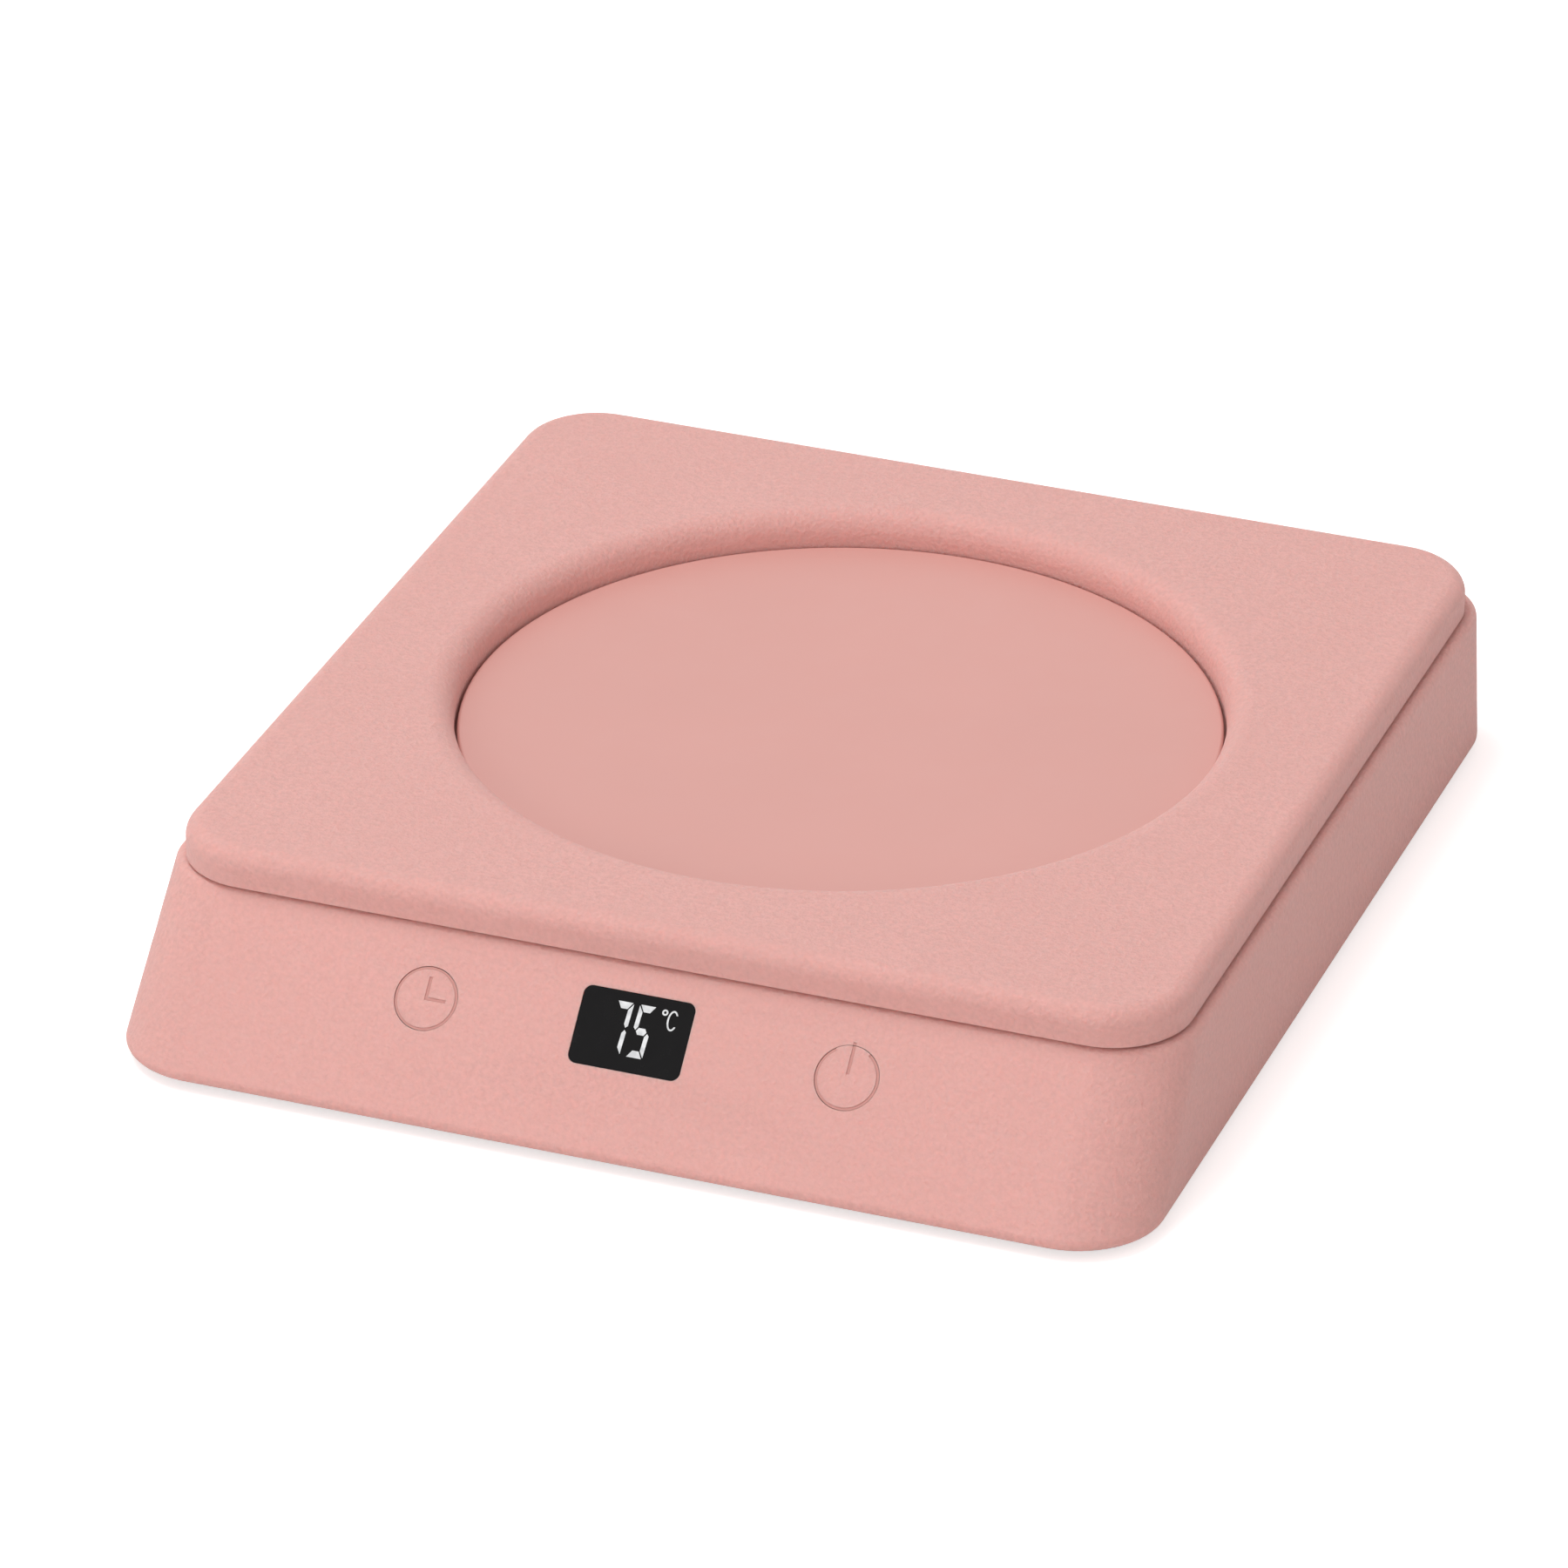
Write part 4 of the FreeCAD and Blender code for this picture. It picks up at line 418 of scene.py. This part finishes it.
class KeyFace:
    """The front plane of a key: its centre, its directions and strips of painted shade laid in its
    grooves.
    """

    def __init__(self, node):
        self.across = Vector((1.0, 0.0, 0.0))
        self.normal = Vector((0.0, -math.cos(PANEL_TILT), math.sin(PANEL_TILT)))
        self.up = Vector((0.0, math.sin(PANEL_TILT), math.cos(PANEL_TILT)))
        points = [vertex.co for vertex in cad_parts[node].data.vertices]
        spans = []
        for direction in (self.across, self.up):
            reach = [point.dot(direction) for point in points]
            spans.append((min(reach) + max(reach)) / 2)
        front = max(point.dot(self.normal) for point in points)
        height = front - (GROOVE_DEPTH - SHADE_STRIP_THICKNESS) * MM
        self.centre = self.across * spans[0] + self.up * spans[1] + self.normal * height
        self.depth = self.normal * SHADE_STRIP_THICKNESS * MM

    def point(self, x, y):
        """A point of the strips' upper face, from millimetres across and up."""
        return self.centre + self.across * x * MM + self.up * y * MM

    def arc(self, bm, opening=0.0):
        """A ring strip with an opening at its top, in degrees."""
        closed = opening == 0.0
        start, sweep = 90.0 + opening / 2, 360.0 - opening
        count = RING_STEPS if closed else RING_STEPS + 1
        angles = [math.radians(start + sweep * i / RING_STEPS) for i in range(count)]
        outer, inner = [[self.point(radius * math.cos(a), radius * math.sin(a)) for a in angles]
                        for radius in (RING_OUTER, RING_INNER)]
        strip_solid(bm, outer, inner, self.depth, closed)

    def line(self, bm, start, end):
        """A straight strip between two points of the plane."""
        (x0, y0), (x1, y1) = start, end
        length = math.hypot(x1 - x0, y1 - y0)
        side = (-(y1 - y0) / length * SIGN_WIDTH / 2, (x1 - x0) / length * SIGN_WIDTH / 2)
        left, right = [[self.point(x + sign * side[0], y + sign * side[1]) for x, y in (start, end)]
                       for sign in (1, -1)]
        strip_solid(bm, left, right, self.depth)


def key_signs():
    """Darker strips in the keys' grooves, painted shade for the pressed signs: a clock with two hands,
    and an open ring with a bar.
    """
    # Painted shade: the pressed signs are the case's own colour, and these darker strips stand in for
    # their shade.
    sign_shade = moulded("sign_painted_shade", SIGN_SHADE_ROSE, rough=0.6)
    clock = KeyFace("timer_key")
    bm = bmesh.new()
    clock.arc(bm)
    clock.line(bm, (0.0, -SIGN_WIDTH / 2), (0.0, CLOCK_HAND_UP))
    clock.line(bm, (SIGN_WIDTH / 2, 0.0), (CLOCK_HAND_SIDE, 0.0))
    mesh_piece("timer_sign", bm, sign_shade, "timer_key")
    power = KeyFace("power_key")
    bm = bmesh.new()
    power.arc(bm, opening=RING_OPENING)
    power.line(bm, (0.0, POWER_BAR_LOW), (0.0, RING_OUTER))
    mesh_piece("power_sign", bm, sign_shade, "power_key")
    bm = bmesh.new()
    power.line(bm, (0.0, POWER_TIP_LOW), (0.0, POWER_TIP_HIGH))
    mesh_piece("power_sign_tip", bm, sign_shade, "housing")


# Floor, light and camera

FLOOR_HALF = 6.0
FLOOR_HEIGHT = -0.02 * MM
FLOOR_GREY = 0.80
FLOOR_LIFT = 0.60
FILL_STRENGTH = 0.57
FILL_COLOUR = (1.0, 0.87, 0.85)
# Each lamp's place, diameter and power in watts
LAMPS = {
    "key": ((-0.45, 0.0, 1.40), 0.7, 8.8),
    "front": ((-0.3, -1.5, 0.5), 0.8, 5.3),
}
LAMP_TARGET = (0.0, 0.0, 0.01)


def make_floor():
    """A pale floor that looks white to the camera and keeps the object's shadow."""
    bm = bmesh.new()
    bmesh.ops.create_grid(bm, x_segments=1, y_segments=1, size=FLOOR_HALF)
    mesh = bpy.data.meshes.new("floor")
    bm.to_mesh(mesh)
    bm.free()
    floor = bpy.data.objects.new("floor", mesh)
    floor.location.z = FLOOR_HEIGHT
    bpy.context.scene.collection.objects.link(floor)
    m = Shader("floor_paper")
    grain = m.noise(1.5 * MM, detail=3.0)
    tone = m.blend(grain, (FLOOR_GREY,) * 3, (FLOOR_GREY * 1.01,) * 3)
    rays = m.nodes.new("ShaderNodeLightPath")
    lift = m.node("ShaderNodeMath")
    lift.operation = "MULTIPLY"
    m.feed(lift.inputs[0], rays.outputs["Is Camera Ray"])
    m.feed(lift.inputs[1], FLOOR_LIFT)
    m.feed(m.surface.inputs["Emission Color"], (1.0, 1.0, 1.0, 1.0))
    mesh.materials.append(m.finish(tone, 0.9, Emission_Strength=lift.outputs[0], Specular_IOR_Level=0.1))


def make_world():
    """White where the camera, a gloss or glass sees it, and a soft fill elsewhere."""
    world = bpy.data.worlds.new("studio")
    bpy.context.scene.world = world
    world.use_nodes = True
    nodes, links = world.node_tree.nodes, world.node_tree.links
    background = nodes["Background"]
    rays = nodes.new("ShaderNodeLightPath")
    seen = None
    for name in ("Is Camera Ray", "Is Glossy Ray", "Is Transmission Ray"):
        if seen is None:
            seen = rays.outputs[name]
            continue
        either = nodes.new("ShaderNodeMath")
        either.operation = "MAXIMUM"
        links.new(seen, either.inputs[0])
        links.new(rays.outputs[name], either.inputs[1])
        seen = either.outputs[0]
    level = nodes.new("ShaderNodeMix")
    level.data_type = "RGBA"
    fill = [channel * FILL_STRENGTH for channel in FILL_COLOUR]
    level.inputs[6].default_value = (*fill, 1.0)
    level.inputs[7].default_value = (1.0, 1.0, 1.0, 1.0)
    links.new(seen, level.inputs["Factor"])
    links.new(level.outputs[2], background.inputs["Color"])


def area_light(name, place, size, power):
    """A round soft lamp that points at the object."""
    lamp = bpy.data.lights.new(name, "AREA")
    lamp.shape = "DISK"
    lamp.size = size
    lamp.energy = power
    item = bpy.data.objects.new(name, lamp)
    item.location = place
    item.rotation_euler = (Vector(LAMP_TARGET) - Vector(place)).to_track_quat("-Z", "Y").to_euler()
    bpy.context.scene.collection.objects.link(item)


def make_camera():
    """The camera at the photograph's viewing angle."""
    turn, tilt, roll = CAMERA_AZIMUTH, CAMERA_ELEVATION, CAMERA_ROLL
    back = Vector((math.sin(turn) * math.cos(tilt), -math.cos(turn) * math.cos(tilt), math.sin(tilt)))
    right = Vector((math.cos(turn), math.sin(turn), 0.0))
    up = back.cross(right)
    rolled_right = math.cos(roll) * right + math.sin(roll) * up
    rolled_up = math.cos(roll) * up - math.sin(roll) * right
    lens = bpy.data.cameras.new("camera")
    lens.lens = CAMERA_LENS_MM
    lens.sensor_width = CAMERA_SENSOR_MM
    lens.clip_start = 0.05
    lens.clip_end = 50.0
    camera = bpy.data.objects.new("camera", lens)
    turned = Matrix((rolled_right, rolled_up, back)).transposed()
    camera.matrix_world = Matrix.Translation(CAMERA_PLACE) @ turned.to_4x4()
    bpy.context.scene.collection.objects.link(camera)
    bpy.context.scene.camera = camera


make_camera()
dress_nodes()
socket_contacts()
key_signs()
make_floor()
make_world()
for lamp_name, (lamp_place, lamp_size, lamp_power) in LAMPS.items():
    area_light(lamp_name, lamp_place, lamp_size, lamp_power)
bpy.context.scene.view_settings.view_transform = "Standard"
